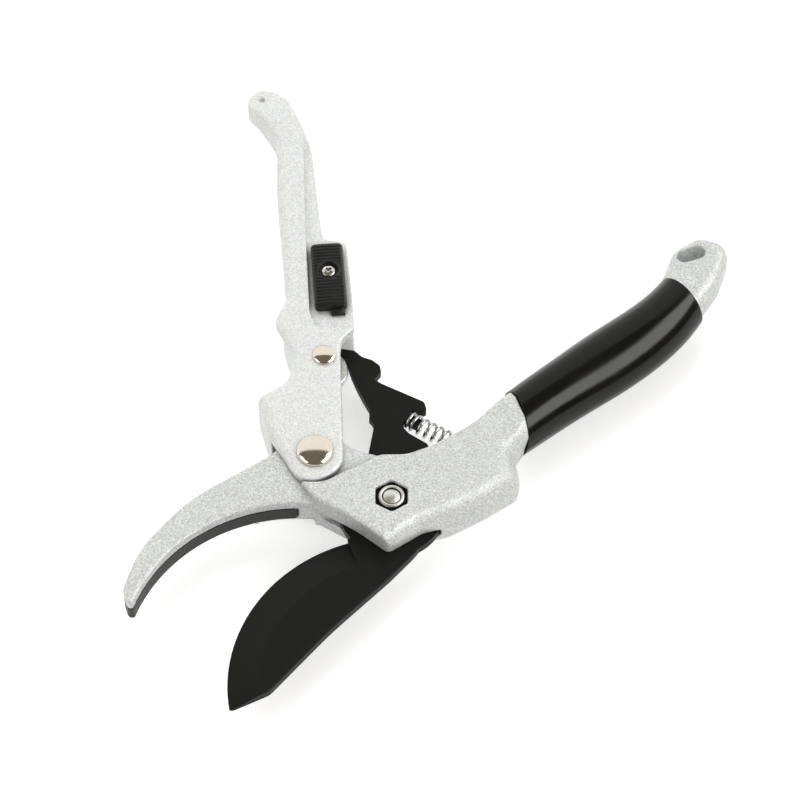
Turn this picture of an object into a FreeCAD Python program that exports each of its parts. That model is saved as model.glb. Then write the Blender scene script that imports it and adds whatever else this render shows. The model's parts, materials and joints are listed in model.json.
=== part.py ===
import FreeCAD, Part
import math
import os

# Hand pruner with a roller drive. It lies on its back, held open by its spring.
# All lengths are in millimetres and all angles in degrees.
# The pieces are drawn about the blade's pivot, with +X along the right handle,
# +Z up, and zero height on the back face of the body. The last lines move them
# so that the origin is the middle of the footprint, on the surface it lies on.

# Every outline below is a list of corners, in shares of this length: x, y, corner radius.
drawing_size = 100.0

# Layers of the body, from the back face up
far_cheek_thickness = 5.0
near_cheek_thickness = 4.4
raised_height = 3.4
casting_edge_radius = 1.2
belly_edge_radius = 4.0
dimple_radius = 1.1
dimple_inner_radius = 0.6
dimple_depth = 0.3
dimple_shares = (-0.207, 0.226)

# Blade plate, whose bevel runs from the grind stop beside the pivot to past the tip
blade_thickness = 3.0
blade_side_gap = 0.2
bevel_width = 10.5
edge_land = 0.5
hub_radius = 16.8
hub_gap = 0.5
bevel_start_turn = 18.0
bevel_end_turn = 114.0
blade_edge_chamfer = 0.3

# Motion: how far the left handle closes, and how far the blade turns with it
handle_travel = 50.0
blade_ratio = 0.62
blade_travel = handle_travel * blade_ratio

# Curved jaw and its black insert, which runs from the throat to the tip
jaw_throat_shares = (-0.2498, 0.1577)
jaw_tip_shares = (-0.8880, 0.1215)
jaw_radius = 52.8
insert_depth = 4.2
insert_thickness = 5.4
insert_proud = 0.1
far_setback = 2.0
far_tip_setback = 5.5
insert_fit = 0.03
insert_end_radius = 1.6
insert_pin_radius = 1.2
insert_pin_shares = (0.19, 0.772)
insert_pin_cap = 0.25
insert_pin_depth_share = 0.55
edge_gap = 0.3

# Fits
running_gap = 0.05
fixed_gap = 0.02
rubbing_gap = 0.3
overrun = 1.0

# Pivot bolt and locknut
bolt_radius = 3.0
bolt_head_radius = 6.5
bolt_head_height = 2.4
bolt_socket_flats = 4.0
bolt_socket_depth = 1.6
bolt_end_radius = 2.65
bolt_end_dome = 0.6
bush_radius = 5.0
nut_flats = 10.0
nut_height = 4.0
nut_pocket_depth = 5.0
nut_pocket_gap = 0.1
nut_turn = -4.0
nut_collar_radius = 4.1
nut_collar_height = 0.75
nut_ring_radius = 3.45
nut_ring_height = 0.5
nut_chamfer = 0.3

# Left handle, called the lever here
main_rivet_shares = (-0.109, 0.274)
roller_arm_share = 0.374
roller_arm_angle = 52.3
lever_cheek_thickness = 3.0
lever_floor_thickness = 3.2
lever_edge_radius = 1.3
lever_outer_radius = 2.8
lever_end_turn = 65.0
recess_depth = 1.4
hinge_room_radius = 11.4
end_mark_radius = 1.2
end_mark_drop = 1.2
end_mark_shares = (0.538, 1.605)
hollow_limit_turn = 55.3
hollow_limit_share = 0.8

# Rivets, roller and its spacers
main_rivet_radius = 3.5
main_head_radius = 5.75
main_head_height = 2.3
main_tail_radius = 5.0
main_tail_height = 1.4
main_washer_radius = 6.2
main_washer_thickness = 0.8
roller_rivet_radius = 2.5
roller_head_radius = 3.6
roller_head_height = 1.5
roller_radius = 7.6
roller_thickness = 3.0
roller_chamfer = 0.35
cam_gap = 0.2
spacer_radius = 4.2

# Right handle and its sleeve
handle_mid_height = 7.2
sleeve_wall = 2.1
sleeve_fit = 0.03
sleeve_start_share = 0.525
sleeve_start_lean = 14.0
sleeve_start_tilt = 12.0
sleeve_end_share = 1.262
sleeve_end_lean = -9.0
sleeve_middle_share = 0.09
end_thickness = 14.4
end_edge_radius = 4.6
oval_end_share = 0.8
hang_slot_shares = (1.3675, 0.246)
hang_slot_radius = 2.55
hang_slot_spacing = 4.8
hang_slot_turn = -13.6
hang_slot_chamfer = 0.4

# Opening spring
spring_wire = 1.0
spring_radius = 2.7
spring_turns = 13
spring_end_turns = 1
spring_end_gap = 0.45
spring_slot_width = 8.0
spring_start_shares = (0.2405, 0.2610)
spring_seat_shares = (0.379, -0.050)
spring_seat_gap = 0.3
tongue_width = 3.0
tongue_length = 4.4
tongue_corner = 0.9
peg_radius = 1.7
peg_length = 3.2

# Lock
slider_centre_shares = (0.307, 0.829)
slider_turn = 60.5
slider_length = 26.0
slider_width = 10.6
slider_height = 2.7
slider_corner = 1.6
slider_ribs = 19
slider_tab_length = 1.6
slider_tab_width = 4.6
slider_tab_height = 1.3
slider_rib_depth = 0.45
slider_well_radius = 3.1
slider_well_depth = 1.3
slider_well_share = 0.06
lock_travel = 4.0
lock_plate_thickness = 2.4
lock_post_radius = 2.2
lock_slot_gap = 0.3
screw_head_radius = 2.25
screw_head_height = 0.9
screw_radius = 1.2
screw_cross_width = 0.6
screw_cross_depth = 0.5
detent_length = 6.0
detent_width = 2.2
detent_thickness = 0.3
detent_rise = 0.5
detent_place_share = -0.32

# Outlines, corner by corner: x, y and corner radius, in shares of the drawing size
hook_outline_shares = [
    (-0.850, 0.128, 0.0), (-0.8870, 0.1445, 0.015), (-0.872, 0.199, 0.060), (-0.758, 0.294, 0.430),
    (-0.539, 0.368, 0.650), (-0.215, 0.364, 0.060), (-0.145, 0.388, 0.080), (-0.012, 0.374, 0.090),
    (0.004, 0.245, 0.100), (0.070, 0.160, 0.030), (0.080, 0.0, 0.0), (-0.120, 0.020, 0.0),
    (-0.240, 0.070, 0.0)]
far_flap_shares = [
    (-0.215, 0.130, 0.0), (-0.213, -0.048, 0.015), (-0.120, -0.120, 0.020), (0.0, -0.110, 0.0),
    (0.0, 0.130, 0.0)]
neck_outline_shares = [
    (-0.209, 0.210, 0.006), (-0.140, 0.172, 0.120), (-0.030, 0.156, 0.200), (0.056, 0.154, 0.050),
    (0.130, 0.106, 0.100), (0.210, 0.090, 0.120), (0.370, 0.086, 0.250), (0.480, 0.110, 0.200),
    (0.600, 0.142, 0.0), (0.600, -0.042, 0.0), (0.480, -0.045, 0.060), (0.427, -0.066, 0.080),
    (0.382, -0.172, 0.045), (0.240, -0.172, 0.250), (0.110, -0.162, 0.120), (0.030, -0.134, 0.080),
    (-0.103, -0.134, 0.025), (-0.140, -0.011, 0.600), (-0.204, 0.128, 0.080)]
belly_outline_shares = [
    (-0.600, -0.134, 0.0), (0.030, -0.134, 0.080), (0.110, -0.162, 0.120), (0.240, -0.172, 0.250),
    (0.382, -0.172, 0.045), (0.427, -0.066, 0.080), (0.480, -0.045, 0.060), (0.800, -0.042, 0.0),
    (0.800, 0.500, 0.0), (-0.600, 0.500, 0.0)]
end_outline_shares = [
    (1.200, 0.204, 0.0), (1.255, 0.242, 0.100), (1.335, 0.300, 0.070), (1.440, 0.303, 0.060),
    (1.494, 0.235, 0.050), (1.480, 0.180, 0.080), (1.385, 0.109, 0.250), (1.275, 0.066, 0.200),
    (1.200, 0.045, 0.0)]
slot_outline_shares = [
    (-0.050, 0.155, 0.0), (0.048, 0.232, 0.0), (0.130, 0.314, 0.0), (0.130, 0.700, 0.0),
    (0.460, 0.700, 0.0), (0.460, 0.040, 0.0), (0.300, -0.050, 0.0), (0.170, -0.110, 0.0), (0.0, 0.0, 0.0)]
channel_outline_shares = [
    (0.190, 0.300, 0.0), (0.450, 0.300, 0.0), (0.440, 0.040, 0.020), (0.418, -0.030, 0.004),
    (0.342, -0.064, 0.004), (0.190, -0.064, 0.020)]
jaw_blade_shares = [
    (0.050, -0.145, 0.0), (-0.036, -0.178, 0.100), (-0.146, -0.207, 0.300), (-0.400, -0.259, 1.500),
    (-0.674, -0.336, 0.060), (-0.795, -0.319, 0.016), (-0.840, -0.280, 0.0), (-0.840, 0.060, 0.0),
    (-0.060, 0.060, 0.0), (0.040, 0.0, 0.0)]
tail_outline_shares = [
    (0.0, 0.0, 0.0), (-0.040, 0.152, 0.0), (0.058, 0.219, 0.060), (0.136, 0.302, 0.040),
    (0.120, 0.450, 0.0), (0.120, 0.585, 0.0), (0.203, 0.618, 0.010), (0.243, 0.581, 0.020),
    (0.250, 0.545, 0.020), (0.270, 0.517, 0.016), (0.279, 0.484, 0.016), (0.268, 0.460, 0.010),
    (0.233, 0.447, 0.006), (0.243, 0.422, 0.010), (0.318, 0.284, 0.016), (0.304, 0.244, 0.014),
    (0.277, 0.262, 0.004), (0.268, 0.285, 0.004), (0.206, 0.244, 0.006), (0.208, 0.210, 0.010),
    (0.236, 0.140, 0.020), (0.165, 0.020, 0.0)]
lever_outline_shares = [
    (-0.066, 0.172, 0.092), (-0.212, 0.182, 0.092), (-0.198, 0.400, 0.200), (-0.147, 0.562, 0.030),
    (-0.025, 0.560, 0.080), (0.044, 0.640, 0.080), (0.056, 0.785, 0.080), (0.155, 0.845, 0.100),
    (0.205, 0.945, 0.300), (0.381, 1.267, 0.600), (0.488, 1.430, 0.120), (0.490, 1.540, 0.100),
    (0.479, 1.603, 0.030), (0.504, 1.640, 0.035), (0.556, 1.651, 0.040), (0.596, 1.618, 0.040),
    (0.613, 1.552, 0.080), (0.596, 1.457, 0.300), (0.5665, 1.335, 0.300),
    (0.392, 1.002, 0.080), (0.386, 0.975, 0.050), (0.441, 0.927, 0.030), (0.336, 0.733, 0.600),
    (0.262, 0.607, 0.030), (0.200, 0.590, 0.030), (0.176, 0.560, 0.040)]
lever_outer_shares = [
    (-0.290, 0.050, 0.0), (-0.203, 0.290, 0.0), (-0.198, 0.400, 0.200), (-0.147, 0.562, 0.030),
    (-0.025, 0.560, 0.080), (0.044, 0.640, 0.080), (0.056, 0.785, 0.080), (0.155, 0.845, 0.100),
    (0.205, 0.945, 0.300), (0.381, 1.267, 0.600), (0.488, 1.430, 0.120), (0.490, 1.540, 0.100),
    (0.479, 1.603, 0.030), (0.504, 1.640, 0.035), (0.556, 1.651, 0.0), (0.800, 1.651, 0.0),
    (0.800, 0.050, 0.0)]
lever_hollow_shares = [
    (-0.350, 0.100, 0.0), (-0.350, 0.398, 0.0), (-0.163, 0.398, 0.015), (-0.126, 0.530, 0.020),
    (-0.045, 0.532, 0.070), (0.068, 0.642, 0.080), (0.106, 0.766, 0.060), (0.178, 0.865, 0.080),
    (0.232, 0.945, 0.300), (0.405, 1.275, 0.600), (0.510, 1.440, 0.120), (0.520, 1.530, 0.050),
    (0.575, 1.500, 0.0), (0.800, 1.450, 0.0), (0.800, 0.100, 0.0)]
bulge_room_shares = [
    (-0.200, 0.580, 0.0), (-0.028, 0.580, 0.030), (0.048, 0.657, 0.080), (0.083, 0.766, 0.080),
    (0.168, 0.880, 0.0), (0.120, 0.900, 0.0), (-0.200, 0.900, 0.0)]
recess_outline_shares = [
    (0.590, 1.420, 0.0), (0.346, 1.028, 0.0), (0.178, 0.745, 0.030), (0.162, 0.684, 0.024),
    (0.268, 0.606, 0.0), (0.800, 0.590, 0.0), (0.800, 1.420, 0.0)]
lock_plate_shares = [
    (0.284, 0.724, 0.003), (0.299, 0.739, 0.0), (0.299, 0.788, 0.005), (0.283, 0.804, 0.0),
    (0.275, 0.850, 0.015), (0.320, 0.930, 0.015), (0.360, 0.900, 0.015), (0.338, 0.745, 0.015),
    (0.312, 0.704, 0.010)]

# The lever's end seen from the side: distance from the main rivet and corner radius in shares
# of the drawing size, and between them the height in shares of the lever's thickness
lever_side_shares = [
    (-1.0, -0.005, 0.0), (0.95, -0.005, 0.50), (1.30, 0.42, 0.60), (1.49, 0.60, 0.040),
    (1.545, 0.76, 0.035), (1.545, 0.90, 0.030), (1.37, 1.005, 0.90), (-1.0, 1.005, 0.0)]

# Handle stations: x, y of the middle, half width, half thickness
handle_station_shares = [
    (0.46, 0.041, 0.073, 0.070), (0.58, 0.057, 0.0815, 0.080), (0.70, 0.067, 0.085, 0.082),
    (0.85, 0.077, 0.092, 0.083), (1.00, 0.087, 0.092, 0.083), (1.12, 0.102, 0.087, 0.081),
    (1.22, 0.128, 0.083, 0.078), (1.31, 0.166, 0.082, 0.074)]
neck_station_shares = [
    (-0.40, 0.0, 0.700, 0.500), (0.26, 0.0, 0.320, 0.180), (0.44, 0.040, 0.145, 0.115),
    (0.57, 0.060, 0.096, 0.092)]

# Heights worked out from the layers
hook_top = far_cheek_thickness + 2 * blade_side_gap + blade_thickness + near_cheek_thickness
raised_top = hook_top + raised_height
slot_bottom = far_cheek_thickness
slot_top = slot_bottom + 2 * blade_side_gap + blade_thickness
blade_bottom = slot_bottom + blade_side_gap
blade_top = blade_bottom + blade_thickness
blade_middle = (blade_bottom + blade_top) / 2
lever_inner_bottom = -rubbing_gap
lever_inner_top = hook_top + rubbing_gap
lever_bottom = lever_inner_bottom - lever_cheek_thickness
lever_top = lever_inner_top + lever_cheek_thickness
recess_floor = lever_top - recess_depth
hollow_top = recess_floor - lever_floor_thickness

# Places worked out from the shares
jaw_throat = tuple(share * drawing_size for share in jaw_throat_shares)
jaw_tip = tuple(share * drawing_size for share in jaw_tip_shares)
jaw_half = math.dist(jaw_throat, jaw_tip) / 2
jaw_drop = math.sqrt(jaw_radius * jaw_radius - jaw_half * jaw_half) / (2 * jaw_half)
jaw_centre = (
    (jaw_throat[0] + jaw_tip[0]) / 2 + (jaw_throat[1] - jaw_tip[1]) * jaw_drop,
    (jaw_throat[1] + jaw_tip[1]) / 2 - (jaw_throat[0] - jaw_tip[0]) * jaw_drop)
insert_from_angle = math.degrees(math.atan2(jaw_throat[1] - jaw_centre[1], jaw_throat[0] - jaw_centre[0]))
insert_to_angle = math.degrees(math.atan2(jaw_tip[1] - jaw_centre[1], jaw_tip[0] - jaw_centre[0]))
main_rivet = tuple(share * drawing_size for share in main_rivet_shares)
roller_arm = roller_arm_share * drawing_size
roller_place = (
    main_rivet[0] + roller_arm * math.cos(math.radians(roller_arm_angle)),
    main_rivet[1] + roller_arm * math.sin(math.radians(roller_arm_angle)))
spring_start = tuple(share * drawing_size for share in spring_start_shares)
spring_seat = tuple(share * drawing_size for share in spring_seat_shares)
slider_centre = tuple(share * drawing_size for share in slider_centre_shares)
slide_direction = (math.cos(math.radians(slider_turn)), math.sin(math.radians(slider_turn)))

up = FreeCAD.Vector(0, 0, 1)
down = FreeCAD.Vector(0, 0, -1)


def point(x, y, z=0):
    return FreeCAD.Vector(x, y, z)


def turned(place, angle, about=(0, 0)):
    """A place in the plane, turned about another by an angle in degrees."""
    cosine = math.cos(math.radians(angle))
    sine = math.sin(math.radians(angle))
    x = place[0] - about[0]
    y = place[1] - about[1]
    return (about[0] + x * cosine - y * sine, about[1] + x * sine + y * cosine)


def rounded_face(shares, size=drawing_size):
    """A flat face whose corners are rounded by tangent arcs."""
    corners = [(point(x * size, y * size), radius * size) for x, y, radius in shares]
    count = len(corners)
    starts = []
    arcs = []
    for index in range(count):
        here, radius = corners[index]
        before = corners[index - 1][0] - here
        after = corners[(index + 1) % count][0] - here
        turn = math.pi - before.getAngle(after)
        reach = min(radius * math.tan(turn / 2), 0.49 * before.Length, 0.49 * after.Length)
        before.normalize()
        after.normalize()
        first = here + before * reach
        last = here + after * reach
        if reach > 0:
            bend = reach / math.tan(turn / 2)
            inward = before + after
            inward.normalize()
            middle = here + inward * (bend / math.cos(turn / 2) - bend)
            arcs.append(Part.Arc(first, middle, last).toShape())
        else:
            arcs.append(None)
        starts.append((first, last))
    edges = []
    for index in range(count):
        if arcs[index]:
            edges.append(arcs[index])
        leaving = starts[index][1]
        arriving = starts[(index + 1) % count][0]
        if leaving.distanceToPoint(arriving) > running_gap * running_gap:
            edges.append(Part.LineSegment(leaving, arriving).toShape())
    return Part.Face(Part.Wire(Part.__sortEdges__(edges)))


def slab(face, low, high):
    """A flat face drawn at height zero, thickened between two heights."""
    lifted = face.copy()
    lifted.translate(up * low)
    return lifted.extrude(up * (high - low))


def disc(centre, radius, low, high):
    return Part.makeCylinder(radius, high - low, point(centre[0], centre[1], low), up)


def ring(centre, outer, inner, low, high):
    return disc(centre, outer, low, high).cut(disc(centre, inner, low - overrun, high + overrun))


def hexagon(centre, flats, turn, low, high):
    """A six-sided prism; a turn of zero puts a corner on +X."""
    reach = flats / math.sqrt(3)
    corners = []
    for index in range(7):
        angle = math.radians(turn + 60 * index)
        corners.append(point(centre[0] + reach * math.cos(angle), centre[1] + reach * math.sin(angle), low))
    return Part.Face(Part.makePolygon(corners)).extrude(up * (high - low))


def dome(centre, radius, height, base, direction):
    """A rivet head: the cap of a ball, standing on a flat base."""
    ball = (radius * radius + height * height) / (2 * height)
    middle = point(centre[0], centre[1], base) + direction * (height - ball)
    cap = Part.makeSphere(ball, middle)
    start = point(centre[0], centre[1], base)
    return cap.common(Part.makeCylinder(ball, height, start, direction))


def edges_at(shape, height):
    """The edges that lie flat at one height."""
    tolerance = fixed_gap
    found = []
    for edge in shape.Edges:
        box = edge.BoundBox
        if abs(box.ZMin - height) < tolerance and abs(box.ZMax - height) < tolerance:
            found.append(edge)
    return found


def softened(shape, heights, radius):
    """The shape with its flat rims at the given heights rounded."""
    edges = []
    for height in heights:
        edges += edges_at(shape, height)
    return shape.makeFillet(radius, edges)


def bar(centre, direction_angle, length, width, low, high, corner=0.0):
    """A flat bar with its length along an angle in the plane."""
    half = length / 2
    side = width / 2
    shares = [(-half, -side, corner), (half, -side, corner), (half, side, corner), (-half, side, corner)]
    solid = slab(rounded_face(shares, 1), low, high)
    solid.rotate(point(0, 0), up, direction_angle)
    solid.translate(point(centre[0], centre[1]))
    return solid


def oval(x, middle, half_width, half_thickness, height):
    """An upright oval across the handle, made of four arcs that meet smoothly."""
    tight = oval_end_share * half_thickness
    reach = half_width - tight
    wide = (reach * reach + half_thickness * half_thickness - tight * tight) / (2 * (half_thickness - tight))
    drop = wide - half_thickness
    slant = math.hypot(reach, drop)
    meet_y = reach + tight * reach / slant
    meet_z = tight * drop / slant
    centre = point(x, middle, height)
    corners = [point(0, meet_y, meet_z), point(0, -meet_y, meet_z),
               point(0, -meet_y, -meet_z), point(0, meet_y, -meet_z)]
    tops = [point(0, 0, half_thickness), point(0, -half_width, 0),
            point(0, 0, -half_thickness), point(0, half_width, 0)]
    edges = []
    for index in range(4):
        first = centre + corners[index]
        last = centre + corners[(index + 1) % 4]
        edges.append(Part.Arc(first, centre + tops[index], last).toShape())
    return Part.Wire(edges)


def handle_loft(stations, growth):
    """A smooth handle through its stations, grown evenly all round."""
    size = drawing_size
    wires = []
    for x, middle, half_width, half_thickness in stations:
        wires.append(oval(x * size, middle * size, half_width * size + growth,
                          half_thickness * size + growth, handle_mid_height))
    return Part.makeLoft(wires, True, False)


def half_space(x, lean, side, tilt=0.0):
    """A large block on one side of a plane across the handle, which leans in plan and tilts in height."""
    size = 4 * drawing_size
    middle = sleeve_middle_share * drawing_size
    block = Part.makeBox(size, size, size, point(0, -size / 2, -size / 2))
    if side < 0:
        block.translate(point(-size, 0))
    block.rotate(point(0, 0, handle_mid_height), point(0, 1), tilt)
    block.rotate(point(0, 0), up, -lean)
    block.translate(point(x, middle))
    return block


def jaw_disc(radius, low, high):
    return disc(jaw_centre, radius, low, high)


def roller_path(angle):
    """Where the roller's centre is, seen from the blade, when the lever has closed by an angle."""
    place = turned(roller_place, -angle, main_rivet)
    return turned(place, angle * blade_ratio)


def cam_cut():
    """The room to the left of the tail that the roller sweeps as it runs down the tail's edge."""
    step = handle_travel / 10
    reach = roller_radius + cam_gap
    places = []
    for index in range(-1, 12):
        angle = index * step
        here = roller_path(angle)
        ahead = roller_path(angle + step / 10)
        along = point(ahead[0] - here[0], ahead[1] - here[1])
        along.normalize()
        places.append(point(here[0] - along.y * reach, here[1] + along.x * reach))
    curve = Part.BSplineCurve()
    curve.interpolate(places)
    first = places[0]
    last = places[-1]
    left = point(-drawing_size / 2, first.y)
    low_left = point(-drawing_size / 2, last.y)
    edges = [curve.toShape(), Part.LineSegment(last, low_left).toShape(),
             Part.LineSegment(low_left, left).toShape(), Part.LineSegment(left, first).toShape()]
    low = blade_bottom - overrun
    high = blade_top + overrun
    room = slab(Part.Face(Part.Wire(edges)), low, high)
    ends = [disc(roller_path(angle), reach, low, high) for angle in (0, handle_travel)]
    return room.fuse(ends)


def spring_frame():
    """The spring's start, its seat, its length and its direction in the plane."""
    start = point(spring_start[0], spring_start[1], blade_middle)
    seat = point(spring_seat[0], spring_seat[1], blade_middle)
    along = seat - start
    length = along.Length
    along.normalize()
    return start, seat, length, along


def make_body():
    """The die-cast body: hook, pivot plate, neck and the core of the right handle."""
    jaw = jaw_disc(jaw_radius + insert_proud, -overrun, raised_top + overrun)
    hook = slab(rounded_face(hook_outline_shares), 0, hook_top).cut(jaw)
    hook = softened(hook, (0, hook_top), casting_edge_radius).cut(far_cheek_room())
    neck = slab(rounded_face(neck_outline_shares), 0, raised_top)
    neck = softened(neck, (0, raised_top), casting_edge_radius)
    belly = slab(rounded_face(belly_outline_shares), 0, raised_top)
    neck = neck.common(softened(belly, (0, raised_top), belly_edge_radius))
    neck = neck.common(handle_loft(neck_station_shares, 0))
    neck = neck.common(half_space(sleeve_start_share * drawing_size - rubbing_gap, sleeve_start_lean, -1,
                                  sleeve_start_tilt))
    flap = slab(rounded_face(far_flap_shares), 0, far_cheek_thickness).cut(jaw)
    core = handle_loft(handle_station_shares, 0)
    low = handle_mid_height - end_thickness / 2
    end = slab(rounded_face(end_outline_shares), low, low + end_thickness)
    end = softened(end, (low, low + end_thickness), end_edge_radius)
    end = end.common(half_space(sleeve_end_share * drawing_size + fixed_gap, sleeve_end_lean, 1))
    body = hook.fuse([neck, flap, core, end])
    body = body.cut(body_openings())
    start, seat, length, along = spring_frame()
    peg = Part.makeCylinder(peg_radius, peg_length + overrun, seat + along * overrun, along * -1)
    body = body.fuse(peg)
    return body.removeSplitter()


def far_cheek_room():
    """The room under the insert, where the far cheek stands back from the jaw and from the tip."""
    high = (slot_bottom + slot_top) / 2 - insert_thickness / 2
    radius = jaw_radius + insert_proud + far_setback
    room = jaw_disc(radius, -overrun, high)
    reach = 4 * drawing_size
    first = turned((reach, 0), insert_to_angle - math.degrees(far_tip_setback / jaw_radius))
    last = turned((reach, 0), insert_to_angle + 45)
    centre = point(jaw_centre[0], jaw_centre[1], -overrun)
    corners = [centre, centre + point(first[0], first[1]), centre + point(last[0], last[1]), centre]
    return room.fuse(Part.Face(Part.makePolygon(corners)).extrude(up * (high + overrun)))


def body_openings():
    """Everything that is cut from the body, as one list."""
    slot = slab(rounded_face(slot_outline_shares), slot_bottom, slot_top)
    hub = disc((0, 0), hub_radius + hub_gap, slot_bottom, slot_top)
    jaw = jaw_disc(jaw_radius + edge_gap, slot_bottom, slot_top)
    middle = (slot_bottom + slot_top) / 2
    low = middle - spring_slot_width / 2
    channel = slab(rounded_face(channel_outline_shares), low, low + spring_slot_width)
    insert_room = insert_blank(insert_fit)
    bolt_hole = disc((0, 0), bolt_radius + running_gap, -overrun, raised_top + overrun)
    flats = nut_flats + 2 * nut_pocket_gap
    pocket = hexagon((0, 0), flats, nut_turn, raised_top - nut_pocket_depth, raised_top + overrun)
    rivet_hole = disc(main_rivet, main_rivet_radius + running_gap, -overrun, raised_top + overrun)
    hinge_room = disc(main_rivet, hinge_room_radius, hook_top, raised_top + overrun)
    place = tuple(share * drawing_size for share in dimple_shares)
    low = hook_top - dimple_depth
    dimple = ring(place, dimple_radius, dimple_inner_radius, low, hook_top + dimple_depth)
    cuts = [slot, hub, jaw, channel, insert_room, bolt_hole, pocket, rivet_hole, hinge_room, dimple]
    return cuts + [hang_slot()] + insert_pins(insert_fit)


def hang_slot():
    """The slanted hang slot with a chamfered mouth at both faces."""
    centre = tuple(share * drawing_size for share in hang_slot_shares)
    low = handle_mid_height - end_thickness / 2
    high = low + end_thickness
    length = hang_slot_spacing + 2 * hang_slot_radius
    width = 2 * hang_slot_radius
    solid = bar(centre, hang_slot_turn, length, width, low - overrun, high + overrun, hang_slot_radius)
    wide = hang_slot_radius + hang_slot_chamfer
    for level, direction in ((low, 1), (high, -1)):
        outer = slot_wire(centre, wide, level)
        inner = slot_wire(centre, hang_slot_radius, level + direction * hang_slot_chamfer)
        solid = solid.fuse(Part.makeLoft([outer, inner], True, True))
    return solid


def slot_wire(centre, radius, height):
    """The outline of a slot with round ends, at one height."""
    half = hang_slot_spacing / 2
    right = point(half, 0)
    left = point(-half, 0)
    side = point(0, radius)
    edges = [Part.LineSegment(left - side, right - side).toShape(),
             Part.Arc(right - side, right + point(radius, 0), right + side).toShape(),
             Part.LineSegment(right + side, left + side).toShape(),
             Part.Arc(left + side, left - point(radius, 0), left - side).toShape()]
    wire = Part.Wire(edges)
    wire.rotate(point(0, 0), up, hang_slot_turn)
    wire.translate(point(centre[0], centre[1], height))
    return wire


def insert_blank(growth):
    """The curved strip in the hook, grown by a fit."""
    middle = (slot_bottom + slot_top) / 2
    low = middle - insert_thickness / 2 - growth
    high = middle + insert_thickness / 2 + growth
    outer = jaw_radius + insert_depth + growth
    strip = jaw_disc(outer, low, high).cut(jaw_disc(jaw_radius, low - overrun, high + overrun))
    reach = 4 * drawing_size
    extra = math.degrees(growth / jaw_radius)
    first = turned((reach, 0), insert_from_angle - extra)
    last = turned((reach, 0), insert_to_angle + extra)
    centre = point(jaw_centre[0], jaw_centre[1], low)
    corners = [centre, centre + point(first[0], first[1]), centre + point(last[0], last[1]), centre]
    wedge = Part.Face(Part.makePolygon(corners)).extrude(up * (high - low))
    return strip.common(wedge)


def insert_pins(growth):
    """Two round pins through the hook's cheeks and the insert."""
    pins = []
    for share in insert_pin_shares:
        angle = insert_from_angle + share * (insert_to_angle - insert_from_angle)
        place = turned((jaw_radius + insert_depth * insert_pin_depth_share, 0), angle)
        centre = (jaw_centre[0] + place[0], jaw_centre[1] + place[1])
        pins.append(disc(centre, insert_pin_radius + growth, -insert_pin_cap, hook_top + insert_pin_cap))
    return pins


def make_insert():
    """The black insert, with rounded ends and holes for its pins."""
    strip = insert_blank(0)
    upright = []
    for edge in strip.Edges:
        box = edge.BoundBox
        middle = edge.CenterOfMass
        inner = middle.distanceToPoint(point(jaw_centre[0], jaw_centre[1], middle.z))
        if box.ZLength > blade_thickness and inner < jaw_radius + insert_depth / 2:
            upright.append(edge)
    strip = strip.makeFillet(insert_end_radius, upright)
    strip = strip.common(slab(rounded_face(hook_outline_shares), slot_bottom - insert_thickness, hook_top))
    return strip.cut(insert_pins(insert_fit))


def make_sleeve():
    """The soft sleeve on the right handle, from the neck to the shoulder of the end."""
    start = sleeve_start_share * drawing_size
    end = sleeve_end_share * drawing_size
    skin = handle_loft(handle_station_shares, sleeve_wall)
    skin = skin.common(half_space(start, sleeve_start_lean, 1, sleeve_start_tilt))
    skin = skin.common(half_space(end, sleeve_end_lean, -1))
    return skin.cut(handle_loft(handle_station_shares, sleeve_fit))


def make_bolt():
    """The pivot bolt: low head at the back, domed end inside the locknut."""
    head = disc((0, 0), bolt_head_radius, -bolt_head_height, 0)
    head = softened(head, (-bolt_head_height,), bolt_head_height / 3)
    socket_low = -bolt_head_height - overrun
    socket = hexagon((0, 0), bolt_socket_flats, 0, socket_low, bolt_socket_depth - bolt_head_height)
    shank_top = raised_top - bolt_end_dome - running_gap
    shank = disc((0, 0), bolt_radius, 0, shank_top)
    shank = softened(shank, (shank_top,), bolt_radius - bolt_end_radius)
    end = dome((0, 0), bolt_end_radius, bolt_end_dome, shank_top, up)
    return head.cut(socket).fuse([shank, end]).removeSplitter()


def make_bush():
    """The steel bush on which the blade turns."""
    return ring((0, 0), bush_radius, bolt_radius + running_gap, slot_bottom + fixed_gap, slot_top - fixed_gap)


def make_nut():
    """The locknut in its pocket, with a rolled collar round the nylon ring."""
    low = raised_top - nut_pocket_depth + fixed_gap
    body = hexagon((0, 0), nut_flats, nut_turn, low, low + nut_height)
    body = softened_nut(body, low)
    collar = disc((0, 0), nut_collar_radius, low + nut_height - overrun, low + nut_height + nut_collar_height)
    collar = softened(collar, (low + nut_height + nut_collar_height,), nut_collar_height / 2)
    nut = body.fuse(collar)
    ring_room = disc((0, 0), nut_ring_radius, low + nut_height - nut_ring_height, raised_top + overrun)
    return nut.cut([disc((0, 0), bolt_radius + running_gap, low - overrun, raised_top), ring_room])


def softened_nut(body, low):
    """The nut's corners, turned down to a cone as on any nut."""
    reach = nut_flats / math.sqrt(3)
    top = low + nut_height
    cone = Part.makeCone(reach + nut_chamfer + nut_height, reach - nut_chamfer, nut_height + nut_chamfer,
                         point(0, 0, top - nut_height - nut_chamfer), up)
    return body.common(cone)


def make_nut_ring():
    """The nylon ring that grips the bolt's end."""
    low = raised_top - nut_pocket_depth + fixed_gap + nut_height - nut_ring_height + fixed_gap
    high = low + nut_ring_height + nut_collar_height / 2
    return ring((0, 0), nut_ring_radius - fixed_gap, bolt_radius + fixed_gap, low, high)


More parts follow.
